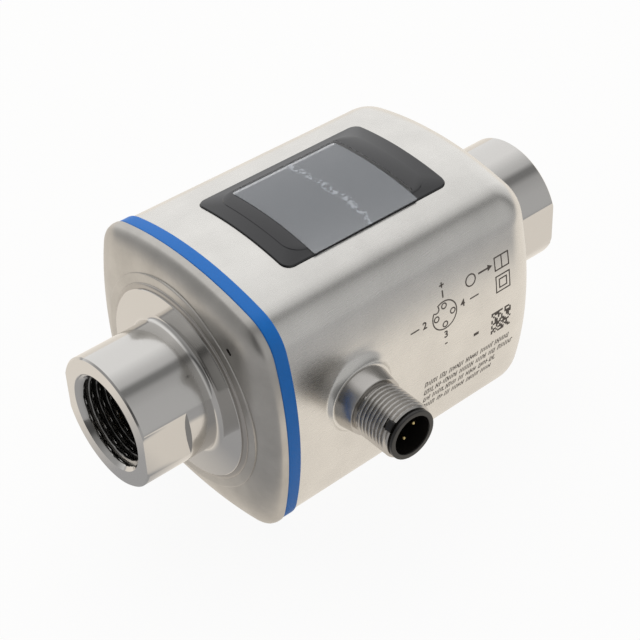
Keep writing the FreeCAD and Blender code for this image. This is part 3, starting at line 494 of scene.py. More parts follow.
def plug_place():
    """Plug's axis place: x, z and how far the side lies from the flow axis there."""
    low, high = box_of("plug_shell")
    x, z = (low.x + high.x) / 2, (low.z + high.z) / 2
    return x, z, half_at(x)


def rounding(inward=0.0):
    """Crown and corner radius of the casing's outline, moved inwards."""
    casing = settings("casing")
    return casing.crown - inward, casing.corner - inward


def crowned_height(x, across):
    """Height of a crowned side over the flow axis, at a distance across it."""
    crown = settings("casing").crown
    return half_at(x) - crown + np.sqrt(crown ** 2 - across ** 2)


def neck_rise(away):
    """Height of the plug's neck over its seat, at a distance from the plug's axis."""
    sizes = settings("plug")
    wall = sizes.neck_height - sizes.neck_lip
    foot = np.array([-sizes.neck_drop, sizes.neck_foot])
    top = np.array([wall, sizes.neck_wall])
    middle = (foot + top) / 2 - np.array([sizes.neck_hollow, 0.0])
    rows = 2 * np.array([middle - foot, top - foot])
    centre = np.linalg.solve(rows, [middle @ middle - foot @ foot, top @ top - foot @ foot])
    radius = np.linalg.norm(top - centre)
    flank = centre[0] - np.sqrt(np.maximum(radius ** 2 - (away - centre[1]) ** 2, 0))
    across = np.clip((away - sizes.neck_top) / (sizes.neck_wall - sizes.neck_top), 0, 1)
    lip = wall + sizes.neck_lip * np.sqrt(1 - across ** 2)
    return np.where(away < sizes.neck_wall, lip, flank)


def plug_side_height(x, z):
    """Height of the plug's side with the drawn neck blended out of it."""
    centre_x, centre_z, seat = plug_place()
    away = np.hypot(x - centre_x, z - centre_z)
    side = crowned_height(x, z)
    neck = seat + neck_rise(away)
    soft = 0.12 * MM
    joined = (side + neck + np.sqrt((side - neck) ** 2 + soft ** 2)) / 2
    foot, fading = settings("plug").neck_foot, 0.15
    fade = np.clip((foot - away) / (fading * foot), 0, 1)
    return side + (joined - side) * fade


def side_normals(height, x, across):
    """Outward normals (along, across, up) of a height over plan points."""
    step = 0.04 * MM
    slope_x = (height(x + step, across) - height(x - step, across)) / (2 * step)
    slope_a = (height(x, across + step) - height(x, across - step)) / (2 * step)
    normals = np.stack([-slope_x, -slope_a, np.ones_like(slope_x)], axis=1)
    return normals / np.linalg.norm(normals, axis=1, keepdims=True)


def holed_side(skin, stops, quarter, height, rings, to_world):
    """Side of the housing round a hole; the first ring is the hole's own edge."""
    places = stations([quarter], corners=False, close=True)
    axis = 1 if quarter == 0 else 2
    plan = [[(p[0], p[axis]) for p in crowned_ring(x, half_at(x), *rounding(), places)]
            for x in stops]
    points = (plan[0] + [row[-1] for row in plan[1:-1]] + plan[-1][::-1]
              + [row[0] for row in plan[-2:0:-1]])
    outlines = [list(range(len(points)))]
    for ring in rings:
        start = len(points)
        points += [tuple(p) for p in ring]
        outlines.append(list(range(start, len(points))))
    outer, margin = np.array(rings[-1]), 0.7 * MM
    low, high = outer.min(axis=0) - margin, outer.max(axis=0) + margin
    for row in plan[1:-1]:
        points += [p for p in row[1:-1]
                   if not (low[0] < p[0] < high[0] and low[1] < p[1] < high[1])]
    hole = set(outlines[1])
    faces = [face for face in triangulate(points, outlines) if not set(face) <= hole]
    x, across = np.array(points).T
    skin.add(to_world(x, across, height(x, across)),
             to_world(*side_normals(height, x, across).T), faces)


def circle_point(centre, radius, angle):
    """Plan point on a circle."""
    return centre[0] + radius * math.cos(angle), centre[1] + radius * math.sin(angle)


def rounded_outline(centre, long_side, short_side, corner, straight=24, bend=10):
    """Plan points round a rectangle with round corners."""
    points = []
    reach = (long_side / 2 - corner, short_side / 2 - corner)
    for quarter, (sign_x, sign_y) in enumerate(((1, 1), (-1, 1), (-1, -1), (1, -1))):
        middle = (centre[0] + sign_x * reach[0], centre[1] + sign_y * reach[1])
        points += [circle_point(middle, corner, math.pi / 2 * (quarter + i / bend))
                   for i in range(bend)]
        start = circle_point(middle, corner, math.pi / 2 * (quarter + 1))
        along_x = quarter % 2 == 0
        span = -2 * sign_x * reach[0] if along_x else -2 * sign_y * reach[1]
        for i in range(straight):
            step = span * i / straight
            points.append((start[0] + step * along_x, start[1] + step * (not along_x)))
    return points


def circle_plan(centre, radius, count):
    """Plan points round a circle."""
    return [circle_point(centre, radius, angle) for angle in turns(count)]


def top_world(along, across, up):
    """Plan on the top side to the meter's axes."""
    return np.stack([along, across, up], axis=1)


def near_world(along, across, up):
    """Plan on the plug's side to the meter's axes."""
    return np.stack([along, -up, across], axis=1)


def neck_radii():
    """Radii of the rings on the plug's neck, closer together where it bends."""
    plug = settings("plug")
    lip, flank = plug.neck_wall - plug.neck_top, plug.neck_foot - plug.neck_wall
    rows, crowding = 18, 1.3
    radii = [plug.bore + 0.1 * MM, plug.neck_top - 0.15 * MM]
    radii += [plug.neck_top + lip * math.sin(math.pi / 2 * i / ROUND_STEPS)
              for i in range(ROUND_STEPS + 1)]
    return radii + [plug.neck_wall + flank * (i / rows) ** crowding for i in range(1, rows + 1)]


def window_centre():
    """Centre of the window on the plan of the top side."""
    low, high = box_of("window_lens")
    return (low.x + high.x) / 2, 0.0


def housing_mesh():
    """Drawn housing with its window opening, plug neck and outlet hole."""
    casing, window = settings("casing"), settings("window")
    mouth, end = housing_place()[:2]
    skin = Skin((mouth + end) / 2)
    stops = np.linspace(mouth, end - casing.end_round, FLOW_ROWS)
    plain = [stations([quarter], sides=False, close=True) for quarter in range(4)]
    plain += [stations([quarter], corners=False, close=True) for quarter in (1, 2)]
    for places in plain:
        skin.add_grid(np.array([crowned_ring(x, half_at(x), *rounding(), places)
                                for x in stops]))
    opening = rounded_outline(window_centre(), window.long_side, window.short_side,
                              window.corner, OPENING_STEPS)
    holed_side(skin, stops, 0, crowned_height, [opening], top_world)
    rings = [circle_plan(plug_place()[:2], radius, NECK_STEPS) for radius in neck_radii()]
    holed_side(skin, stops, 3, plug_side_height, rings, near_world)
    places = tuple(np.append(values, values[0]) for values in stations())
    bend = []
    for i in range(END_STEPS + 1):
        angle = math.pi / 2 * i / END_STEPS
        inward = casing.end_round * (1 - math.cos(angle))
        x = end - casing.end_round * (1 - math.sin(angle))
        bend.append(crowned_ring(x, half_at(x) - inward, *rounding(inward), places))
    skin.add_grid(np.array(bend))
    rim = bend[-1]
    hole = turned_ring(end, casing.neck, np.arctan2(rim[:, 2], rim[:, 1]))
    face = np.array([blend(rim, hole, i / FACE_STEPS) for i in range(FACE_STEPS + 1)])
    along_flow = np.tile([1.0, 0.0, 0.0], (face[..., 0].size, 1))
    skin.add(face.reshape(-1, 3), along_flow, grid_faces(*face.shape[:2]))
    return shell_from_skin("housing_shell", skin, casing.sheet)


def cap_surface(half, face, foot, angles, reach):
    """Place along the flow of the cap's dished surface at distances from the axis."""
    flat = settings("casing").cap_flat
    radii, depths = [], []
    for step in np.linspace(0, math.pi / 2, DISH_STOPS):
        inward = (half - flat) * (1 - math.cos(step))
        radii.append(contour_radius(half - inward, *rounding(inward), angles))
        depths.append(foot - (foot - face) * math.sin(step))
    radii, depths = np.array(radii)[::-1], np.array(depths)[::-1]
    return np.array([np.interp(reach[j], radii[:, j], depths) for j in range(len(angles))])


def polar_ring(x, reach, angles):
    """Ring at distances from the axis, by angle from +Z towards +Y."""
    x = np.broadcast_to(x, angles.shape)
    return np.stack([x, reach * np.sin(angles), reach * np.cos(angles)], axis=1)


def cap_mesh():
    """Dished cap: raised round seat, elliptical shoulder, lip and spigot."""
    casing = settings("casing")
    low, high = box_of("front_cap")
    face, half, end = low.x + casing.emboss_height, high.z, high.x
    lip_back = box_of("seal_ring")[0].x
    foot = lip_back - casing.cap_lip
    seat, crowding = casing.emboss_radius, 0.8
    edge, fit, spigot_wall = 0.12 * MM, 0.15 * MM, 1.0 * MM
    y, z = contour(half, casing.crown + 0.1 * MM, casing.corner + 0.05 * MM, *stations())
    angles = np.arctan2(y, z)
    rim = contour_radius(half, *rounding(), angles)
    rings = [polar_ring(low.x, casing.neck, angles)]
    for inward, drop in ((0.35, 0.0), (0.15, 0.03), (0.04, 0.1)):
        rings.append(polar_ring(low.x + drop * MM, seat - inward * MM, angles))
    for share in np.linspace(0, 1, DISH_ROWS) ** crowding:
        reach = blend(seat, rim - HAIR, share)
        rings.append(polar_ring(cap_surface(half, face, foot, angles, reach), reach, angles))
    rings.append(polar_ring(lip_back - edge, rim, angles))
    rings.append(polar_ring(lip_back, rim - edge, angles))
    spigot = half_at(lip_back) - casing.sheet - fit
    inner = spigot - spigot_wall
    back = face + casing.sheet
    for x, size in ((lip_back, spigot), (end, spigot), (end, inner), (foot, inner),
                    (back, casing.cap_flat)):
        reach = contour_radius(size, *rounding(half - size), angles)
        rings.append(polar_ring(x, reach, angles))
    rings.append(polar_ring(back, casing.neck, angles))
    return loft("cap_shell", rings, True)


def cut_slot(piece):
    """Cut the small slot through the cap."""
    casing = settings("casing")
    outline = rounded_outline((0, 0), casing.slot_length, casing.slot_width,
                              casing.slot_width / 2 - HAIR, 2, 8)
    face = box_of("front_cap")[0].x
    rings = [[(x, across, up) for across, up in outline] for x in (face - MM, face + 4 * MM)]
    cutter = bpy.data.objects.new("slot_cutter", loft("slot_cutter", rings, False))
    bpy.context.scene.collection.objects.link(cutter)
    turn = Matrix.Rotation(casing.slot_angle, 4, "X")
    cutter.data.transform(turn @ Matrix.Translation((0, 0, casing.slot_radius)))
    cut_away(piece, cutter)


def cut_away(piece, cutter):
    """Take a cutter's volume out of a piece and remove the cutter."""
    modifier = piece.modifiers.new("cut", "BOOLEAN")
    modifier.object = cutter
    modifier.solver = "EXACT"
    graph = bpy.context.evaluated_depsgraph_get()
    graph.update()
    cut = bpy.data.meshes.new_from_object(piece.evaluated_get(graph))
    piece.modifiers.clear()
    piece.data = cut
    cut.set_sharp_from_angle(angle=SMOOTH_ANGLE)
    bpy.data.objects.remove(cutter)


def ring_mesh():
    """Silicone ring with softly rounded outer edges."""
    low, high = box_of("seal_ring")
    half, edge = high.z, 0.4 * MM
    sizes = []
    for x_centre, turn_from in ((low.x + edge, math.pi), (high.x - edge, math.pi / 2)):
        for i in range(ROUND_STEPS + 1):
            angle = turn_from - math.pi / 2 * i / ROUND_STEPS
            sizes.append((x_centre + edge * math.cos(angle),
                          half - edge + edge * math.sin(angle)))
    inner = half_at(high.x) - settings("casing").sheet
    sizes += [(high.x, inner), (low.x, inner)]
    rings = [crowned_ring(x, size, *rounding(half - size), stations()) for x, size in sizes]
    return loft("silicone_ring", rings, True)


# ---------------------------------------------------------------- ports
def thread_wave(phase):
    """Rounded thread form from 0 at the crest to 1 at the root, once per turn."""
    steep, crest = 1.3, 0.15
    ramp = np.clip(np.abs(2 * (phase % 1.0) - 1) * steep - crest, 0, 1)
    return ramp * ramp * (3 - 2 * ramp)


def port_profile(sizes):
    """Outer profile of a fitting from its rim to the end of its neck: (place, radius)."""
    root, radius, edge = sizes.disc_root, sizes.radius, 0.1 * MM
    start = sizes.disc_face - root
    back = sizes.disc_face + sizes.disc_thickness
    far = box_of("inlet_fitting")[1]
    neck = settings("casing").neck - edge
    profile = [(0, sizes.mouth), (0, radius - sizes.rim), (sizes.rim, radius)]
    profile += [(sizes.flat_length, radius), (sizes.flat_length + HAIR, radius)]
    profile += arc_points((start, radius), (sizes.disc_face, radius + root),
                          (start, radius + root), 10)
    profile += [(sizes.disc_face, far.z - edge), (sizes.disc_face + edge, far.z), (back, far.z)]
    return profile + [(back, neck), (far.x, neck), (far.x, sizes.passage),
                      (sizes.thread_depth, sizes.passage)]


def flats_at(sizes):
    """Limit of a ring's radius that leaves the two wrench flats on the port's end."""
    def squeeze(x, radii, angles):
        if x > sizes.flat_length:
            return radii
        return np.minimum(radii, sizes.flats / 2 / np.maximum(np.abs(np.cos(angles)), 1e-6))
    return squeeze


def port_mesh(name, hand):
    """Turned fitting with its inside thread; hand is 1 at the inlet and -1 if mirrored after."""
    sizes = settings("port")
    corner = math.acos(sizes.flats / 2 / sizes.radius)
    angles = np.sort(np.concatenate([turns(), [corner, math.pi - corner, math.pi + corner,
                                               2 * math.pi - corner]]))
    rings = spun(port_profile(sizes), angles, flats_at(sizes))
    deep, relief, root_share = sizes.thread_depth, 1.2 * MM, 0.6
    rings += spun([(deep, sizes.minor + root_share * sizes.thread_height)], angles)
    steps = int((deep - 0.15 * MM) / sizes.pitch * THREAD_STEPS)
    for i in range(steps + 1):
        x = blend(deep - 0.05 * MM, 0.0, i / steps)
        phase = x / sizes.pitch - hand * angles / (2 * math.pi)
        fade = min(max((deep - x) / relief - 0.3, 0), 1)
        root = sizes.thread_height * (root_share + (thread_wave(phase) - root_share) * fade)
        rings.append(turned_ring(x, np.maximum(sizes.minor + root, sizes.mouth - x), angles))
    return loft(name, rings[1:], True)


def to_outlet(mesh):
    """Mirror an inlet mesh to the outlet end."""
    span = CAD_BOX[1][0] + CAD_BOX[0][0]
    mesh.transform(Matrix.Translation((span, 0, 0)) @ Matrix.Diagonal((-1, 1, 1, 1)))
    mesh.flip_normals()
    return mesh


def weld_mesh(name):
    """Weld seam round the disc, with the fine ripples of its puddles."""
    sizes = settings("port")
    disc = box_of("inlet_fitting")[1].z
    seat = sizes.disc_face + sizes.disc_thickness
    angles = turns(WELD_STEPS)
    wave, puddles, swings = 0.03 * MM, 95, 7
    ripple = wave * np.abs(np.sin(angles * puddles)) + wave * np.sin(angles * swings)
    sunk, behind, rows = 0.15 * MM, seat + 0.1 * MM, 12
    rings = []
    for i in range(rows + 1):
        angle = math.pi / 2 * i / rows
        x = seat - sizes.bead_height * math.cos(angle) - ripple * math.sin(2 * angle)
        reach = disc - sunk + (sizes.bead_width + sunk) * math.sin(angle)
        rings.append(polar_ring(x, reach, angles))
    rings.append(polar_ring(behind, disc + sizes.bead_width, angles))
    rings.append(polar_ring(behind, disc - sunk, angles))
    return loft(name, rings, True)


# ---------------------------------------------------------------- window
def crowned_loft(name, layers, through=False):
    """Mesh of plan outlines at heights over the crowned top."""
    rings = []
    for outline, rise in layers:
        plan = np.array(outline)
        up = crowned_height(plan[:, 0], plan[:, 1]) + rise
        rings.append(top_world(plan[:, 0], plan[:, 1], up))
    return loft(name, rings, through)


def shrinking(centre, long_side, short_side, corner, rise, straight):
    """Outlines that close a rounded rectangle inwards to a narrow strip."""
    layers = []
    for i in range(1, CLOSING_STEPS + 1):
        inset = (short_side / 2 - 0.2 * MM) * i / CLOSING_STEPS
        radius = max(corner - inset, 0.1 * MM)
        layers.append((rounded_outline(centre, long_side - 2 * inset, short_side - 2 * inset,
                                       radius, straight), rise))
    return layers


SCREEN_CORNER = 0.5 * MM            # corner radius of the clear screen opening


def clear_mesh():
    """Clear middle of the cover, from its raised face to its back."""
    sizes = settings("window")
    top, over = sizes.proud + sizes.pad_height, 0.02 * MM
    screen = (window_centre(), sizes.screen_length, sizes.screen_width, SCREEN_CORNER)
    outline = rounded_outline(window_centre(), sizes.screen_length + over,
                              sizes.screen_width + over, SCREEN_CORNER, COVER_STEPS)
    layers = shrinking(*screen, -sizes.depth, COVER_STEPS)[::-1]
    layers += [(outline, -sizes.depth), (outline, top)]
    layers += shrinking(*screen, top, COVER_STEPS)
    return crowned_loft("cover", layers)


def border_mesh():
    """Border of the cover, printed black from behind: rounded edge, flat rim and raised middle."""
    sizes = settings("window")
    top, edge_rows = sizes.proud + sizes.pad_height, 5
    hole = rounded_outline(window_centre(), sizes.screen_length, sizes.screen_width,
                           SCREEN_CORNER, COVER_STEPS)

    def outline(long_side, short_side, corner, inset):
        """Outline of the cover or its raised middle, moved inwards."""
        return rounded_outline(window_centre(), long_side - 2 * inset, short_side - 2 * inset,
                               corner - inset, COVER_STEPS)

    cover = (sizes.long_side - 2 * sizes.fit, sizes.short_side - 2 * sizes.fit,
             sizes.corner - sizes.fit)
    pad = (sizes.pad_length, sizes.pad_width, sizes.pad_corner)
    layers = [(hole, -sizes.depth), (outline(*cover, 0.0), -sizes.depth)]
    for i in range(edge_rows + 1):
        angle = math.pi / 2 * i / edge_rows
        layers.append((outline(*cover, sizes.edge * (1 - math.cos(angle))),
                       sizes.proud - sizes.edge * (1 - math.sin(angle))))
    for inset, share in ((-0.12, 0.0), (-0.04, 0.15), (0.04, 0.85), (0.12, 1.0)):
        layers.append((outline(*pad, inset * MM), sizes.proud + sizes.pad_height * share))
    layers.append((hole, top))
    return crowned_loft("cover_border", layers, True)


def film_mesh():
    """Thin flat-edged peel-off film on the cover."""
    sizes = settings("window")
    low, high = box_of("protective_film")
    plan = (((low.x + high.x) / 2, (low.y + high.y) / 2), high.x - low.x, high.y - low.y,
            0.3 * MM)
    under = sizes.proud + sizes.pad_height + 0.02 * MM
    over = under + sizes.film
    outline = rounded_outline(*plan, FILM_STEPS)
    layers = shrinking(*plan, under, FILM_STEPS)[::-1]
    layers += [(outline, under), (outline, over)]
    layers += shrinking(*plan, over, FILM_STEPS)
    return crowned_loft("film", layers)


# ---------------------------------------------------------------- plug
def to_plug(mesh):
    """Turn a mesh made along +X to the plug's axis."""
    x, z = plug_place()[:2]
    turn = Matrix.Rotation(-math.pi / 2, 4, "Z")
    mesh.transform(Matrix.Translation((x, 0, z)) @ turn)
    return mesh


def plug_ends():
    """Back of the plug, end of its thread and front of its lip, from the flow axis."""
    shell_low, shell_high = box_of("plug_shell")
    return -shell_high.y, -shell_low.y, -box_of("plug_insert")[0].y


def plug_shell_mesh():
    """Plug body: collar, undercut and M12 thread."""
    sizes = settings("plug")
    back, end = plug_ends()[:2]
    seat = plug_place()[2] + sizes.neck_height
    collar_end = seat + sizes.collar_length
    thread_start = collar_end + sizes.undercut_length
    edge, chamfer, lead_slope = 0.12 * MM, 0.5 * MM, 1.2
    angles = turns(PLUG_STEPS)
    profile = [(back, sizes.shell_bore), (back, sizes.bore), (seat, sizes.bore),
               (seat, sizes.collar), (collar_end - edge, sizes.collar_tip),
               (collar_end, sizes.collar_tip - edge), (collar_end + 0.08 * MM, sizes.undercut),
               (thread_start, sizes.undercut)]
    rings = spun(profile, angles)
    steps = int((end - thread_start) / sizes.pitch * THREAD_STEPS)
    for i in range(steps + 1):
        x = blend(thread_start, end, i / steps)
        crest = sizes.major - sizes.thread_height * thread_wave(x / sizes.pitch
                                                                - angles / (2 * math.pi))
        tip = sizes.major - np.maximum(chamfer - (end - x), 0)
        lead = sizes.undercut + (x - thread_start) * lead_slope
        rings.append(turned_ring(x, np.minimum(np.minimum(crest, tip), lead), angles))
    rings += spun([(end, sizes.shell_bore)], angles)
    return loft("plug_body", rings, True)


def key_turn():
    """Turn of a mesh from +Z to the key's place round the plug."""
    return Matrix.Rotation(settings("plug").key_angle - math.pi / 2, 4, "X")


def key_cutter(extra):
    """Bar at the key's place, wider than the key by twice an extra amount."""
    sizes = settings("plug")
    end = plug_ends()[1]
    half, low, high = sizes.key_width / 2 + extra, sizes.cavity + 0.05 * MM, 2 * sizes.major
    rings = [[(x, -half, low), (x, half, low), (x, half, high), (x, -half, high)]
             for x in (end - sizes.key_length - extra, end + MM)]
    mesh = loft("key_cutter", rings, False)
    mesh.transform(key_turn())
    cutter = bpy.data.objects.new("key_cutter", to_plug(mesh))
    bpy.context.scene.collection.objects.link(cutter)
    return cutter


def insert_mesh():
    """Moulded insert: lip, cavity and floor."""
    sizes = settings("plug")
    back, end, front = plug_ends()
    body, edge, over = sizes.shell_bore - 0.05 * MM, 0.15 * MM, end + 0.02 * MM
    profile = [(back, body), (over, body), (over, body + edge),
               (end + 0.5 * (front - end), sizes.lip)]
    profile += arc_points((front - edge, sizes.lip), (front, sizes.lip - edge),
                          (front - edge, sizes.lip - edge), 5, True)
    profile += arc_points((front, sizes.cavity + edge), (front - edge, sizes.cavity),
                          (front - edge, sizes.cavity + edge), 5)
    profile += [(front - sizes.cavity_depth, sizes.cavity)]
    return to_plug(loft("insert", spun(profile, turns(INSERT_STEPS)), False))


def key_mesh():
    """Outer key of the insert with a rounded front."""
    sizes = settings("plug")
    end = plug_ends()[1]
    half, top, low = sizes.key_width / 2, sizes.major - 0.1 * MM, sizes.shell_bore - 0.3 * MM
    rings = []
    for x, inset in ((end - sizes.key_length, 0.0), (end - 0.15 * MM, 0.0),
                     (end + 0.05 * MM, 0.15)):
        outline = rounded_outline((0, (low + top) / 2), 2 * half - 2 * inset * MM,
                                  top - low - 2 * inset * MM, 0.2 * MM, 3, 5)
        rings.append([(x, across, up) for across, up in outline])
    mesh = loft("key", rings, False)
    mesh.transform(key_turn())
    return to_plug(mesh)


def contact_mesh(name, place):
    """Round contact with a domed tip."""
    radius = settings("plug").contact
    low, high = box_of(name)
    back, tip = -high.y, -low.y
    profile = [(back, radius)]
    profile += arc_points((tip - radius, radius), (tip - 0.01 * MM, 0.04 * MM),
                          (tip - radius, 0), 8, True)
    mesh = loft(name + "_pin", spun(profile, turns(PIN_STEPS)), False)
    mesh.transform(Matrix.Translation((0, *place)))
    return to_plug(mesh)


# ---------------------------------------------------------------- side marks
def flat_bar(start, end, width):
    """Plan outline of a straight bar."""
    along = np.array(end) - np.array(start)
    size = np.linalg.norm(along)
    side = np.array([-along[1], along[0]]) / size * width / 2
    a, b = np.array(start), np.array(end)
    return [tuple(a - side), tuple(b - side), tuple(b + side), tuple(a + side)]


def flat_arc(centre, radius, width, start, end, steps):
    """Plan outline of a curved bar."""
    outer = [circle_point(centre, radius + width / 2, a) for a in np.linspace(start, end, steps)]
    inner = [circle_point(centre, radius - width / 2, a) for a in np.linspace(end, start, steps)]
    return outer + inner


def flat_circle(centre, radius, width, steps):
    """Plan outlines of the two halves of a round line."""
    return [flat_arc(centre, radius, width, start, start + math.pi, steps)
            for start in (0, math.pi)]


def flat_frame(middle, half_x, half_z, width):
    """Four bars round a rectangle, overlapping at its corners."""
    left, right = middle[0] - half_x * MM, middle[0] + half_x * MM
    low, high = middle[1] - half_z * MM, middle[1] + half_z * MM
    over = width / 2
    return [flat_bar((left - over, z), (right + over, z), width) for z in (low, high)] + \
           [flat_bar((x, low + over), (x, high - over), width) for x in (left, right)]


def glyph_parts(text, place, size):
    """Plan triangles of upright text, centred on a place."""
    curve = bpy.data.curves.new("glyph", "FONT")
    curve.body = text
    curve.size = size
    curve.align_x = "CENTER"
    curve.align_y = "CENTER"
    curve.offset = 0.06 * MM
    curve.resolution_u = 4
    holder = bpy.data.objects.new("glyph", curve)
    mesh = bpy.data.meshes.new_from_object(holder)
    parts = [[(mesh.vertices[v].co.x + place[0], mesh.vertices[v].co.y + place[1])
              for v in face.vertices] for face in mesh.polygons]
    bpy.data.objects.remove(holder)
    bpy.data.curves.remove(curve)
    bpy.data.meshes.remove(mesh)
    return parts


def marking_mesh(name, outlines):
    """Thin closed slabs of plan outlines, laid on the plug's side."""
    below, above = -0.03 * MM, 0.02 * MM
    points, faces = [], []
    for outline in outlines:
        x, z = np.array(outline).T
        start, count = len(points), len(outline)
        for rise in (below, above):
            points += near_world(x, z, crowned_height(x, z) + rise).tolist()
        faces.append(tuple(range(start + count, start + 2 * count)))
        faces.append(tuple(range(start + count - 1, start - 1, -1)))
        for i in range(count):
            k = (i + 1) % count
            faces.append((start + i, start + k, start + count + k, start + count + i))
    mesh = bpy.data.meshes.new(name)
    mesh.from_pydata(points, [], faces)
    body = bmesh.new()
    body.from_mesh(mesh)
    bmesh.ops.recalc_face_normals(body, faces=body.faces)
    body.to_mesh(mesh)
    body.free()
    return mesh


def pin_diagram(centre):
    """Round pin diagram: ring with a key notch and four pin circles."""
    line, radius = 0.28 * MM, 3.25 * MM
    key, gap = math.radians(135), math.radians(13)
    notch = circle_point(centre, radius * 0.93, key)
    parts = [flat_arc(centre, radius, line, key + gap, key - gap + 2 * math.pi, 64),
             flat_arc(notch, 0.75 * MM, line, key + math.radians(95), key + math.radians(265), 20)]
    for number in range(4):
        hole = circle_point(centre, 2.2 * MM, math.pi / 2 * number)
        parts += flat_circle(hole, 0.62 * MM, line, 14)
    return parts


def rows_of_ticks(left, top, rows, pitch, width, height):
    """Rows of fine upright ticks in short groups, where small print would be."""
    rng = np.random.default_rng(7)
    lean, step, gap = 0.12 * MM, 0.52 * MM, 0.55 * MM
    parts = []
    for row in range(rows):
        level = top - row * pitch
        x = left
        limit = left + width * (0.8 + 0.2 * rng.random())
        while x < limit:
            for _ in range(rng.integers(3, 9)):
                half = height * (0.32 + 0.18 * rng.random())
                parts.append(flat_bar((x - lean, level - half), (x + lean, level + half), 0.2 * MM))
                if rng.random() < 0.4:
                    side = level + half * rng.choice([-0.9, 0.0, 0.9])
                    parts.append(flat_bar((x, side), (x + 0.5 * MM, side), 0.18 * MM))
                x += step
            x += gap
    return parts


def dot_field(centre, size, cells):
    """Square field of plain square dots in a made-up scatter."""
    rng = np.random.default_rng(11)
    filled, dot = 0.52, 0.92
    step = size / cells
    parts = []
    for i in range(cells):
        for j in range(cells):
            if rng.random() < filled:
                x = centre[0] - size / 2 + (i + 0.5) * step
                z = centre[1] - size / 2 + (j + 0.5) * step
                reach = step * dot / 2
                parts.append(flat_bar((x - reach, z), (x + reach, z), step * dot))
    return parts


def side_marks_mesh():
    """Plain marks beside the plug: pin diagram with digits, signs and lines, round sign with an
    arrow, two framed signs, dot field, short bar and rows of ticks."""
    end = housing_place()[1]
    line, glyph_size = 0.3 * MM, 2.3 * MM
    centre = (end - 27.95 * MM, 8.5 * MM)

    def beside(place, along, up):
        """Plan place some millimetres from another."""
        return place[0] + along * MM, place[1] + up * MM

    parts = pin_diagram(centre)
    for text, along, up in (("1", 0.0, 4.9), ("2", -5.4, 0.2), ("3", 0.1, -4.9), ("4", 5.0, 0.2),
                            ("+", 0.0, 6.9), ("-", 0.1, -7.0)):
        parts += glyph_parts(text, beside(centre, along, up), glyph_size)
    for near, far in ((7.0, 9.4), (-9.2, -6.9)):
        parts.append(flat_bar(beside(centre, near, 0.2), beside(centre, far, 0.2), line))
    parts += flat_circle(beside(centre, 7.6, 4.4), 1.3 * MM, line, 20)
    head = beside(centre, 12.6, 4.8)
    parts.append(flat_bar(beside(centre, 9.8, 4.8), head, line * 1.3))
    parts.append([beside(head, -0.2, -0.75), beside(head, 1.1, 0.0), beside(head, -0.2, 0.75)])
    page = beside(centre, 16.3, 4.6)
    parts += flat_frame(page, 1.9, 1.5, line)
    parts.append(flat_bar(beside(page, 0.0, -1.4), beside(page, 0.0, 1.4), line))
    for half in (1.9, 1.0):
        parts += flat_frame(beside(centre, 16.3, -0.3), half, half, line)
    parts += dot_field((end - 12.3 * MM, -1.2 * MM), 5.6 * MM, 12)
    parts.append(flat_bar((end - 20.1 * MM, -1.1 * MM), (end - 18.7 * MM, -1.1 * MM), 0.7 * MM))
    parts += rows_of_ticks(end - 33.3 * MM, -7.1 * MM, 4, 2.2 * MM, 23.5 * MM, 1.5 * MM)
    return marking_mesh("side_marks", parts)


# ---------------------------------------------------------------- materials
NOISE_LOW, NOISE_HIGH = 0.3, 0.7    # range that most of a noise pattern keeps to
CLOUD_SIZE = 9 * MM                 # broad soft patches in the tone of a sheet


def add_node(tree, kind, values=None, links=None):
    """Add a node, set its fields and inputs, and link its inputs to other nodes' outputs."""
    node = tree.nodes.new(kind)
    for key, value in (values or {}).items():
        if isinstance(key, int) or key in node.inputs:
            node.inputs[key].default_value = value
        else:
            setattr(node, key, value)
    for key, source in (links or {}).items():
        tree.links.new(source, node.inputs[key])
    return node


def new_material(name):
    """Empty node material with a coordinate in metres."""
    material = bpy.data.materials.new(name)
    material.use_nodes = True
    tree = material.node_tree
    tree.nodes.clear()
    return material, tree, add_node(tree, "ShaderNodeTexCoord").outputs["Object"]


def shade(rgb, factor):
    """Colour made darker or lighter, with full alpha."""
    return tuple(min(v * factor, 1.0) for v in rgb) + (1.0,)


def grain(tree, place, size, stretch=(1, 1, 1), detail=3.0):
    """Noise whose grains are a size in metres, drawn out along an axis."""
    mapping = add_node(tree, "ShaderNodeMapping", {"Scale": tuple(1 / (size * s) for s in stretch)},
                       {"Vector": place})
    return add_node(tree, "ShaderNodeTexNoise", {"Scale": 1.0, "Detail": detail, "Roughness": 0.6},
                    {"Vector": mapping.outputs["Vector"]}).outputs["Fac"]


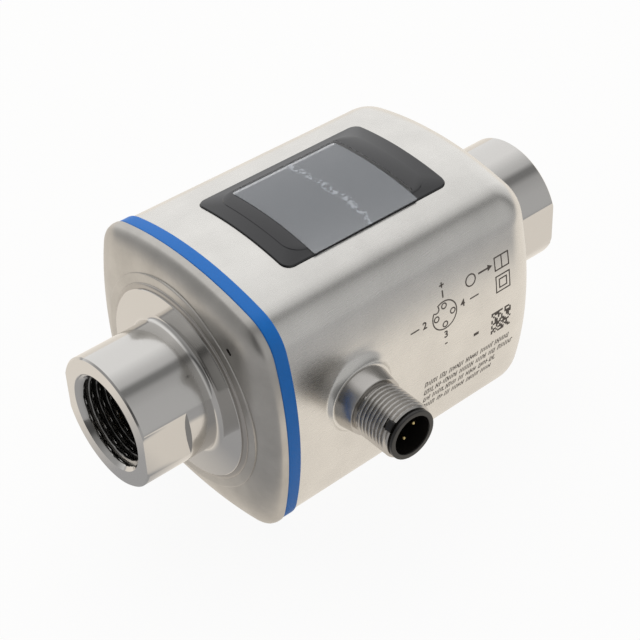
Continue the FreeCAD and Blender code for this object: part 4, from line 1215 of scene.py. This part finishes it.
def steel_material(name, rgb, rough, grain_size, bump, stretch=(1, 1, 1), cloud=0.0, dings=0.0):
    """Stainless steel: full metal whose sheen varies with a fine worked grain, with soft dings."""
    material, tree, place = new_material(name)
    fine = grain(tree, place, grain_size, stretch)
    clouds = add_node(tree, "ShaderNodeMapRange", {1: NOISE_LOW, 2: NOISE_HIGH},
                      {0: grain(tree, place, CLOUD_SIZE, detail=5.0)})
    tone = add_node(tree, "ShaderNodeMix",
                    {"data_type": "RGBA", 6: shade(rgb, 0.94 - cloud), 7: shade(rgb, 1.04)},
                    {0: clouds.outputs["Result"]})
    softened = add_node(tree, "ShaderNodeMath", {"operation": "MULTIPLY_ADD", 1: 0.7, 2: 0.15},
                        {0: fine})
    sheen = add_node(tree, "ShaderNodeMapRange",
                     {1: NOISE_LOW, 2: NOISE_HIGH, 3: rough * 0.85, 4: rough * 1.18},
                     {0: softened.outputs[0]})
    relief = add_node(tree, "ShaderNodeBump", {"Strength": bump, "Distance": 0.02 * MM},
                      {"Height": fine})
    dented = add_node(tree, "ShaderNodeBump", {"Strength": dings, "Distance": 0.05 * MM},
                      {"Height": grain(tree, place, 1.6 * MM), "Normal": relief.outputs["Normal"]})
    surface = add_node(tree, "ShaderNodeBsdfPrincipled", {"Metallic": 1.0},
                       {"Base Color": tone.outputs[2], "Roughness": sheen.outputs["Result"],
                        "Normal": dented.outputs["Normal"]})
    add_node(tree, "ShaderNodeOutputMaterial", {}, {"Surface": surface.outputs["BSDF"]})
    return material


def drawn_stainless():
    """Satin stainless sheet, deep drawn and fine blasted: soft, even, slightly streaked shine."""
    return steel_material("drawn_stainless_satin", settings("colours").steel, rough=0.27,
                          grain_size=0.16 * MM, bump=0.028, stretch=(9, 1, 1))


def tumbled_stainless():
    """Stainless sheet tumbled matt: a broad dull shine with small dings."""
    return steel_material("tumbled_stainless_matt", settings("colours").cap, rough=0.33,
                          grain_size=0.22 * MM, bump=0.16, stretch=(1, 1, 3), cloud=0.10,
                          dings=0.35)


def turned_stainless():
    """Stainless bar, fine turned about the flow axis: nearly a mirror, with faint rings; deep in
    its threaded hole it is darkened with painted shade and made rougher."""
    material, tree, place = new_material("turned_stainless_bright")
    rgb, port = settings("colours").turned, settings("port")
    length = CAD_BOX[1][0] - CAD_BOX[0][0]
    ring_pitch, hole_shade_level = 0.12 * MM, 0.30
    mapping = add_node(tree, "ShaderNodeMapping", {"Scale": (1 / ring_pitch, 40.0, 40.0)},
                       {"Vector": place})
    rings = add_node(tree, "ShaderNodeTexNoise", {"Scale": 1.0, "Detail": 2.0},
                     {"Vector": mapping.outputs["Vector"]}).outputs["Fac"]
    relief = add_node(tree, "ShaderNodeBump", {"Strength": 0.08, "Distance": 0.01 * MM},
                      {"Height": rings})
    across = add_node(tree, "ShaderNodeVectorMath", {"operation": "MULTIPLY", 1: (0, 1, 1)},
                      {0: place})
    radius = add_node(tree, "ShaderNodeVectorMath", {"operation": "LENGTH"},
                      {0: across.outputs["Vector"]})
    # Painted shade: the colour darkens deeper in the threaded hole, where shade falls; the same
    # mask also makes it rougher.
    inside = add_node(tree, "ShaderNodeMapRange", {1: port.mouth, 2: port.mouth - 0.9 * MM},
                      {0: radius.outputs["Value"]})
    parts = add_node(tree, "ShaderNodeSeparateXYZ", {}, {"Vector": place})
    deep = add_node(tree, "ShaderNodeMath", {"operation": "PINGPONG", 1: length / 2},
                    {0: parts.outputs["X"]})
    below = add_node(tree, "ShaderNodeMapRange", {1: 0.6 * MM, 2: 3.0 * MM},
                     {0: deep.outputs[0]})
    painted_hole_shade = add_node(tree, "ShaderNodeMath", {"operation": "MULTIPLY"},
                     {0: inside.outputs["Result"], 1: below.outputs["Result"]})
    tone = add_node(tree, "ShaderNodeMix",
                    {"data_type": "RGBA", 6: shade(rgb, 1.0), 7: shade(rgb, hole_shade_level)},
                    {0: painted_hole_shade.outputs[0]})
    dry = add_node(tree, "ShaderNodeMapRange", {1: NOISE_LOW, 2: NOISE_HIGH, 3: 0.08, 4: 0.14},
                   {0: rings})
    sheen = add_node(tree, "ShaderNodeMath", {"operation": "MULTIPLY_ADD", 1: 0.16},
                     {0: painted_hole_shade.outputs[0], 2: dry.outputs["Result"]})
    surface = add_node(tree, "ShaderNodeBsdfPrincipled", {"Metallic": 1.0},
                       {"Base Color": tone.outputs[2], "Roughness": sheen.outputs[0],
                        "Normal": relief.outputs["Normal"]})
    add_node(tree, "ShaderNodeOutputMaterial", {}, {"Surface": surface.outputs["BSDF"]})
    return material


def plated_shell():
    """Nickel plated turned brass: warm bright metal, a little duller than steel."""
    return steel_material("nickel_plated_brass_turned", settings("colours").plated, rough=0.2,
                          grain_size=0.1 * MM, bump=0.03)


def weld_metal():
    """Weld metal with fine ripples and a faint straw tint."""
    return steel_material("stainless_weld_rippled", settings("colours").weld, rough=0.3,
                          grain_size=0.3 * MM, bump=0.3)


def plain_material(name, rgb, rough, grain_size, bump, metallic=0.0, ior=1.5):
    """Moulded or plated surface: nearly even colour, with a fine skin."""
    material, tree, place = new_material(name)
    variation = 0.06
    fine = grain(tree, place, grain_size)
    spread = add_node(tree, "ShaderNodeMapRange", {1: NOISE_LOW, 2: NOISE_HIGH}, {0: fine})
    tone = add_node(tree, "ShaderNodeMix",
                    {"data_type": "RGBA", 6: shade(rgb, 1 - variation),
                     7: shade(rgb, 1 + variation)}, {0: spread.outputs["Result"]})
    sheen = add_node(tree, "ShaderNodeMapRange",
                     {1: NOISE_LOW, 2: NOISE_HIGH, 3: rough * 0.9, 4: rough * 1.1}, {0: fine})
    relief = add_node(tree, "ShaderNodeBump", {"Strength": bump, "Distance": 0.02 * MM},
                      {"Height": fine})
    values = {"Metallic": metallic}
    if not metallic:
        values["IOR"] = ior
    surface = add_node(tree, "ShaderNodeBsdfPrincipled", values,
                       {"Base Color": tone.outputs[2], "Roughness": sheen.outputs["Result"],
                        "Normal": relief.outputs["Normal"]})
    add_node(tree, "ShaderNodeOutputMaterial", {}, {"Surface": surface.outputs["BSDF"]})
    return material


def blue_silicone():
    """Moulded silicone rubber: even colour, soft dull shine."""
    return plain_material("silicone_rubber_moulded", settings("colours").silicone, rough=0.5,
                          grain_size=0.3 * MM, bump=0.1, ior=1.41)


def insert_plastic():
    """Glass filled nylon, moulded: near black with a soft grain."""
    return plain_material("nylon_black_moulded", settings("colours").insert, rough=0.38,
                          grain_size=0.12 * MM, bump=0.15, ior=1.53)


def contact_gold():
    """Gold plated contact: bright warm metal."""
    return plain_material("gold_plated_contact", settings("colours").gold, rough=0.18,
                          grain_size=0.2 * MM, bump=0.03, metallic=1.0)


def black_print():
    """Black print: matt and even."""
    return plain_material("black_print_matt", settings("colours").print, rough=0.6,
                          grain_size=0.2 * MM, bump=0.05)


def printed_cover():
    """Clear polycarbonate over black print: deep black under a mirror gloss."""
    return plain_material("polycarbonate_black_printed", settings("colours").print, rough=0.06,
                          grain_size=0.4 * MM, bump=0.01, ior=1.58)


def screen_panel():
    """Display panel while it is off: grey glass with a faint sheen."""
    return plain_material("display_panel_off", settings("colours").screen, rough=0.25,
                          grain_size=0.3 * MM, bump=0.02)


def laser_marking():
    """Laser annealed marking: dark oxide, satin."""
    return plain_material("laser_annealed_oxide", settings("colours").marking, rough=0.5,
                          grain_size=0.1 * MM, bump=0.05)


def clear_cover():
    """Clear polycarbonate, moulded: glossy and see-through; shadow rays pass it."""
    material, tree = new_material("clear_polycarbonate_moulded")[:2]
    glass = add_node(tree, "ShaderNodeBsdfPrincipled",
                     {"Base Color": (0.93, 0.94, 0.95, 1), "Roughness": 0.0, "IOR": 1.58,
                      "Transmission Weight": 1.0})
    clear = add_node(tree, "ShaderNodeBsdfTransparent", {"Color": (0.9, 0.9, 0.9, 1)})
    light = add_node(tree, "ShaderNodeLightPath")
    mix = add_node(tree, "ShaderNodeMixShader", {},
                   {0: light.outputs["Is Shadow Ray"], 1: glass.outputs["BSDF"],
                    2: clear.outputs["BSDF"]})
    add_node(tree, "ShaderNodeOutputMaterial", {}, {"Surface": mix.outputs["Shader"]})
    return material


def hazy_film():
    """Polyethylene peel-off film: thin haze, glossy, with a run of trapped bubbles."""
    material, tree, place = new_material("polyethylene_film_hazy")
    low, high = box_of("protective_film")
    run, wander = (low.x + high.x) / 2 + 1.4 * MM, 2.2 * MM
    parts = add_node(tree, "ShaderNodeSeparateXYZ", {}, {"Vector": place})
    drift = add_node(tree, "ShaderNodeMapRange", {3: -wander, 4: wander},
                     {0: grain(tree, place, 6 * MM)})
    line = add_node(tree, "ShaderNodeMath", {"operation": "ADD"},
                    {0: parts.outputs["X"], 1: drift.outputs["Result"]})
    away = add_node(tree, "ShaderNodeMath", {"operation": "SUBTRACT", 1: run},
                    {0: line.outputs[0]})
    size = add_node(tree, "ShaderNodeMath", {"operation": "ABSOLUTE"}, {0: away.outputs[0]})
    near = add_node(tree, "ShaderNodeMapRange", {1: 0.2 * MM, 2: 1.1 * MM, 3: 1.0, 4: 0.0},
                    {0: size.outputs[0]})
    blotch = add_node(tree, "ShaderNodeMapRange", {1: 0.47, 2: 0.53},
                      {0: grain(tree, place, 0.9 * MM, detail=2.0)})
    bubbles = add_node(tree, "ShaderNodeMath", {"operation": "MULTIPLY"},
                       {0: near.outputs["Result"], 1: blotch.outputs["Result"]})
    cover = add_node(tree, "ShaderNodeMapRange", {3: 0.22, 4: 0.5}, {0: bubbles.outputs[0]})
    haze = add_node(tree, "ShaderNodeBsdfDiffuse", {"Color": shade(settings("colours").film, 1.0)})
    clear = add_node(tree, "ShaderNodeBsdfTransparent", {"Color": (1, 1, 1, 1)})
    body = add_node(tree, "ShaderNodeMixShader", {},
                    {0: cover.outputs["Result"], 1: clear.outputs["BSDF"], 2: haze.outputs["BSDF"]})
    gloss = add_node(tree, "ShaderNodeBsdfGlossy", {"Roughness": 0.12, "Color": (1, 1, 1, 1)})
    skin = add_node(tree, "ShaderNodeFresnel", {"IOR": 1.5})
    mix = add_node(tree, "ShaderNodeMixShader", {},
                   {0: skin.outputs["Fac"], 1: body.outputs["Shader"], 2: gloss.outputs["BSDF"]})
    add_node(tree, "ShaderNodeOutputMaterial", {}, {"Surface": mix.outputs["Shader"]})
    return material


# Finishes of the inner pieces, none of which shows: slot, colour, roughness, bump and metallic.
INNER_FINISHES = (("board_green", "#1E5A34", 0.45, 0.1, 0.0),
                  ("black_plastic", "#1B1B1D", 0.45, 0.1, 0.0),
                  ("grey_plastic", "#8C8F92", 0.5, 0.1, 0.0),
                  ("tube_plastic", "#B39B74", 0.45, 0.1, 0.0),
                  ("black_rubber", "#151515", 0.7, 0.1, 0.0),
                  ("soft_iron", "#7B7773", 0.45, 0.2, 1.0),
                  ("copper_wire", "#B8693C", 0.35, 0.2, 1.0))


# ---------------------------------------------------------------- operators
class Making:
    """What the making operators share."""

    bl_options = {"REGISTER", "UNDO"}


class FLOWMETER_OT_housing(Making, bpy.types.Operator):
    """Make the drawn housing"""

    bl_idname = "flowmeter.housing"
    bl_label = "Housing"

    def execute(self, context):
        piece = new_object("housing_shell", housing_mesh(), drawn_stainless())
        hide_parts("housing")
        return {"FINISHED"}


class FLOWMETER_OT_cap(Making, bpy.types.Operator):
    """Make the front cap with its slot"""

    bl_idname = "flowmeter.cap"
    bl_label = "Front cap"

    def execute(self, context):
        piece = new_object("cap_shell", cap_mesh(), tumbled_stainless())
        cut_slot(piece)
        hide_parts("front_cap")
        return {"FINISHED"}


class FLOWMETER_OT_ring(Making, bpy.types.Operator):
    """Make the silicone ring"""

    bl_idname = "flowmeter.ring"
    bl_label = "Silicone ring"

    def execute(self, context):
        piece = new_object("silicone_ring", ring_mesh(), blue_silicone())
        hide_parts("seal_ring")
        return {"FINISHED"}


class FLOWMETER_OT_ports(Making, bpy.types.Operator):
    """Make the two turned fittings"""

    bl_idname = "flowmeter.ports"
    bl_label = "Process fittings"

    def execute(self, context):
        steel = turned_stainless()
        inlet = new_object("inlet_port", port_mesh("inlet_port", 1), steel)
        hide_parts("inlet_fitting")
        outlet_mesh = to_outlet(port_mesh("outlet_port", -1))
        outlet = new_object("outlet_port", outlet_mesh, steel)
        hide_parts("outlet_fitting")
        return {"FINISHED"}


class FLOWMETER_OT_welds(Making, bpy.types.Operator):
    """Make the two weld seams"""

    bl_idname = "flowmeter.welds"
    bl_label = "Weld seams"

    def execute(self, context):
        metal = weld_metal()
        inlet = new_object("inlet_seam", weld_mesh("inlet_seam"), metal)
        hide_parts("inlet_weld")
        outlet = new_object("outlet_seam", to_outlet(weld_mesh("outlet_seam")), metal)
        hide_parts("outlet_weld")
        return {"FINISHED"}


class FLOWMETER_OT_window(Making, bpy.types.Operator):
    """Make the clear cover and its peel-off film"""

    bl_idname = "flowmeter.window"
    bl_label = "Display window"

    def execute(self, context):
        cover = new_object("cover", clear_mesh(), clear_cover())
        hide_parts("window_lens")
        new_object("cover_border", border_mesh(), printed_cover())
        film = new_object("film", film_mesh(), hazy_film())
        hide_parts("protective_film")
        return {"FINISHED"}


class FLOWMETER_OT_plug(Making, bpy.types.Operator):
    """Make the round plug with its insert and contacts"""

    bl_idname = "flowmeter.plug"
    bl_label = "Round plug"

    def execute(self, context):
        sizes = settings("plug")
        body = new_object("plug_body", to_plug(plug_shell_mesh()), plated_shell())
        cut_away(body, key_cutter(0.05 * MM))
        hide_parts("plug_shell")
        plastic = insert_plastic()
        insert = new_object("insert", insert_mesh(), plastic)
        new_object("insert_key", key_mesh(), plastic)
        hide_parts("plug_insert")
        gold = contact_gold()
        for number in range(sizes.contacts):
            angle = 2 * math.pi * number / sizes.contacts
            place = circle_point((0, 0), sizes.contact_circle, angle)
            node = "plug_contact_%d" % (number + 1)
            pin = new_object(node + "_pin", contact_mesh(node, place), gold)
            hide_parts(node)
        return {"FINISHED"}


class FLOWMETER_OT_marks(Making, bpy.types.Operator):
    """Lay the plain marks on the plug's side"""

    bl_idname = "flowmeter.marks"
    bl_label = "Side marks"

    def execute(self, context):
        new_object("side_marks", side_marks_mesh(), laser_marking())
        return {"FINISHED"}


class FLOWMETER_OT_inside(Making, bpy.types.Operator):
    """Give the inner pieces their materials"""

    bl_idname = "flowmeter.inside"
    bl_label = "Inner pieces"

    def execute(self, context):
        made = {"black_print": black_print(), "display_panel": screen_panel(),
                "plated_metal": plated_shell(), "turned_steel": turned_stainless()}
        for name, code, rough, bump, metallic in INNER_FINISHES:
            made[name] = plain_material("inner_" + name, linear(code), rough, 0.3 * MM, bump,
                                        metallic)
        slots = {row["node"]: row["material_slot"] for row in frame["record"]["subparts"]}
        for name, node in frame["nodes"].items():
            material = made.get(slots[name])
            if material is None:
                continue
            node.data.materials.clear()
            node.data.materials.append(material)
        return {"FINISHED"}


class FLOWMETER_OT_studio(Making, bpy.types.Operator):
    """Set up floor, light and camera"""

    bl_idname = "flowmeter.studio"
    bl_label = "Studio"

    def execute(self, context):
        make_floor()
        make_world()
        make_lamps()
        make_camera()
        context.scene.view_settings.view_transform = "Standard"
        return {"FINISHED"}


# ---------------------------------------------------------------- studio
FLOOR_REACH = 3.0
# Edges of the painted light that metal mirrors in the floor, with painted shade beside the object
# and far off, in millimetres: axis, dark, bright.
FLOOR_EDGES = (("X", 4.0, 18.0), ("Y", 14.0, 36.0), ("Y", -115.0, -85.0), ("X", -130.0, -90.0))
# Painted shade and painted light of the floor, seen only where metal mirrors it.
FLOOR_PAINTED_SHADE, FLOOR_PAINTED_LIGHT = (0.44, 0.44, 0.45, 1), (1.03, 0.96, 0.87, 1)
# Brightness of the surround from the front, at 0, over the top, to the back, at 1.
SURROUND_LEVELS = ((0.0, 0.58), (0.15, 0.56), (0.27, 0.46), (0.33, 0.24), (0.39, 0.24),
                   (0.45, 0.62), (0.54, 0.74), (0.70, 1.04))
# Name, place from the object's middle, side length and power of each lamp.
LAMPS = (("overhead", (0.2, 0.35, 0.75), 0.7, 2.2), ("left", (-0.7, -0.15, 0.4), 0.5, 0.5))
CAMERA_LENS = 101.22
CAMERA_PLACE = (-125.369, -228.492, 239.297)    # in millimetres, as the aim is
CAMERA_AIM = (50.930, -4.237, 0.0)
CAMERA_ROLL = math.radians(-2.757)


def make_floor():
    """Plain pale floor that shows white and keeps the shadow; metal mirrors it as painted light,
    with painted shade beside the object and far off."""
    level = CAD_BOX[0][2]
    mesh = bpy.data.meshes.new("floor")
    mesh.from_pydata([(x * FLOOR_REACH, y * FLOOR_REACH, level)
                      for x, y in ((-1, -1), (1, -1), (1, 1), (-1, 1))], [], [(0, 1, 2, 3)])
    floor = bpy.data.objects.new("floor", mesh)
    bpy.context.scene.collection.objects.link(floor)
    material, tree, place = new_material("pale_floor")
    light = add_node(tree, "ShaderNodeLightPath")
    parts = add_node(tree, "ShaderNodeSeparateXYZ", {}, {"Vector": place})
    edges = [add_node(tree, "ShaderNodeMapRange", {1: dark * MM, 2: bright * MM},
                      {0: parts.outputs[axis]}).outputs["Result"]
             for axis, dark, bright in FLOOR_EDGES]
    beside = add_node(tree, "ShaderNodeMath", {"operation": "MAXIMUM"}, {0: edges[0], 1: edges[1]})
    near = add_node(tree, "ShaderNodeMath", {"operation": "MINIMUM"}, {0: edges[2], 1: edges[3]})
    lit = add_node(tree, "ShaderNodeMath", {"operation": "MINIMUM"},
                   {0: beside.outputs[0], 1: near.outputs[0]})
    paint = add_node(tree, "ShaderNodeBsdfDiffuse", {"Color": (0.86, 0.84, 0.80, 1)})
    # Painted reflection of the floor: painted light away from the object, painted shade beside it
    # and far off.
    painted_reflection = add_node(tree, "ShaderNodeMix",
                        {"data_type": "RGBA", 6: FLOOR_PAINTED_SHADE, 7: FLOOR_PAINTED_LIGHT},
                        {0: lit.outputs[0]})
    white = add_node(tree, "ShaderNodeMix", {"data_type": "RGBA", 6: (1, 1, 1, 1)},
                     {0: light.outputs["Is Glossy Ray"], 7: painted_reflection.outputs[2]})
    glow = add_node(tree, "ShaderNodeEmission", {"Strength": 1.0}, {"Color": white.outputs[2]})
    seen = add_node(tree, "ShaderNodeMath", {"operation": "MAXIMUM"},
                    {0: light.outputs["Is Camera Ray"], 1: light.outputs["Is Transmission Ray"]})
    share = add_node(tree, "ShaderNodeMath", {"operation": "MULTIPLY", 1: 0.93},
                     {0: seen.outputs[0]})
    mirror = add_node(tree, "ShaderNodeMath", {"operation": "MULTIPLY", 1: 0.85},
                      {0: light.outputs["Is Glossy Ray"]})
    total = add_node(tree, "ShaderNodeMath", {"operation": "MAXIMUM"},
                     {0: share.outputs[0], 1: mirror.outputs[0]})
    mix = add_node(tree, "ShaderNodeMixShader", {},
                   {0: total.outputs[0], 1: paint.outputs["BSDF"], 2: glow.outputs["Emission"]})
    add_node(tree, "ShaderNodeOutputMaterial", {}, {"Surface": mix.outputs["Shader"]})
    mesh.materials.append(material)


def make_world():
    """Soft studio surround: bright above and behind, a dark gap overhead and a dimmer front."""
    world = bpy.data.worlds.new("studio_surround")
    bpy.context.scene.world = world
    world.use_nodes = True
    tree = world.node_tree
    tree.nodes.clear()
    place = add_node(tree, "ShaderNodeTexCoord")
    parts = add_node(tree, "ShaderNodeSeparateXYZ", {}, {"Vector": place.outputs["Generated"]})
    across = add_node(tree, "ShaderNodeMapRange", {1: -1.0, 2: 1.0}, {0: parts.outputs["Y"]})
    levels = add_node(tree, "ShaderNodeValToRGB", {}, {"Fac": across.outputs["Result"]})
    ramp = levels.color_ramp.elements
    while len(ramp) < len(SURROUND_LEVELS):
        ramp.new(0.5)
    for element, (position, level) in zip(ramp, SURROUND_LEVELS):
        element.position = position
        element.color = (level, level, level, 1.0)
    left = add_node(tree, "ShaderNodeMapRange", {1: -0.62, 2: -0.25, 3: 0.4, 4: 1.0},
                    {0: parts.outputs["X"]})
    level = add_node(tree, "ShaderNodeMath", {"operation": "MULTIPLY"},
                     {0: levels.outputs["Color"], 1: left.outputs["Result"]})
    light = add_node(tree, "ShaderNodeLightPath")
    shown = add_node(tree, "ShaderNodeMath", {"operation": "MAXIMUM"},
                     {0: level.outputs[0], 1: light.outputs["Is Camera Ray"]})
    glow = add_node(tree, "ShaderNodeBackground", {"Color": (1, 1, 1, 1)},
                    {"Strength": shown.outputs[0]})
    add_node(tree, "ShaderNodeOutputWorld", {}, {"Surface": glow.outputs["Background"]})


def make_lamps():
    """Large square lamp above and behind and a weaker one from the left; metal mirrors neither."""
    middle = (Vector(CAD_BOX[0]) + Vector(CAD_BOX[1])) / 2
    for name, away, size, power in LAMPS:
        lamp = bpy.data.lights.new(name, "AREA")
        lamp.shape = "SQUARE"
        lamp.size = size
        lamp.energy = power
        holder = bpy.data.objects.new(name, lamp)
        bpy.context.scene.collection.objects.link(holder)
        place = middle + Vector(away)
        holder.location = place
        holder.rotation_euler = (middle - place).to_track_quat("-Z", "Y").to_euler()
        holder.visible_glossy = False


def make_camera():
    """Camera at three quarters from the inlet, looking down on the display."""
    camera = bpy.data.cameras.new("camera")
    camera.sensor_width = 36.0
    camera.lens = CAMERA_LENS
    camera.clip_start = 0.01
    camera.clip_end = 20.0
    holder = bpy.data.objects.new("camera", camera)
    bpy.context.scene.collection.objects.link(holder)
    place = Vector(CAMERA_PLACE) * MM
    look = (Vector(CAMERA_AIM) * MM - place).to_track_quat("-Z", "Y")
    turned = look @ Matrix.Rotation(CAMERA_ROLL, 3, "Z").to_quaternion()
    holder.location = place
    holder.rotation_euler = turned.to_euler()
    bpy.context.scene.camera = holder


class FLOWMETER_PT_panel(bpy.types.Panel):
    """Buttons that make the flow meter"""

    bl_idname = "FLOWMETER_PT_panel"
    bl_label = "Flow meter"
    bl_space_type = "VIEW_3D"
    bl_region_type = "UI"
    bl_category = "Flow meter"

    def draw(self, context):
        for operator in OPERATORS:
            self.layout.operator(operator.bl_idname)


GROUPS = {"casing": CasingSizes, "port": PortSizes, "window": WindowSizes, "plug": PlugSizes,
          "colours": MeterColours}
OPERATORS = (FLOWMETER_OT_studio, FLOWMETER_OT_housing, FLOWMETER_OT_cap, FLOWMETER_OT_ring,
             FLOWMETER_OT_ports, FLOWMETER_OT_welds, FLOWMETER_OT_window, FLOWMETER_OT_plug,
             FLOWMETER_OT_marks, FLOWMETER_OT_inside)


def register():
    """Register the sizes, the operators and the panel."""
    for name, group in GROUPS.items():
        bpy.utils.register_class(group)
        setattr(bpy.types.Scene, name, bpy.props.PointerProperty(type=group))
    for operator in OPERATORS:
        bpy.utils.register_class(operator)
    bpy.utils.register_class(FLOWMETER_PT_panel)


def unregister():
    """Take the panel, the operators and the sizes out again."""
    bpy.utils.unregister_class(FLOWMETER_PT_panel)
    for operator in reversed(OPERATORS):
        bpy.utils.unregister_class(operator)
    for name, group in GROUPS.items():
        delattr(bpy.types.Scene, name)
        bpy.utils.unregister_class(group)


def main():
    """Make the meter and its studio."""
    register()
    for operator in OPERATORS:
        group, name = operator.bl_idname.split(".")
        getattr(getattr(bpy.ops, group), name)()


if __name__ == "__main__":
    main()
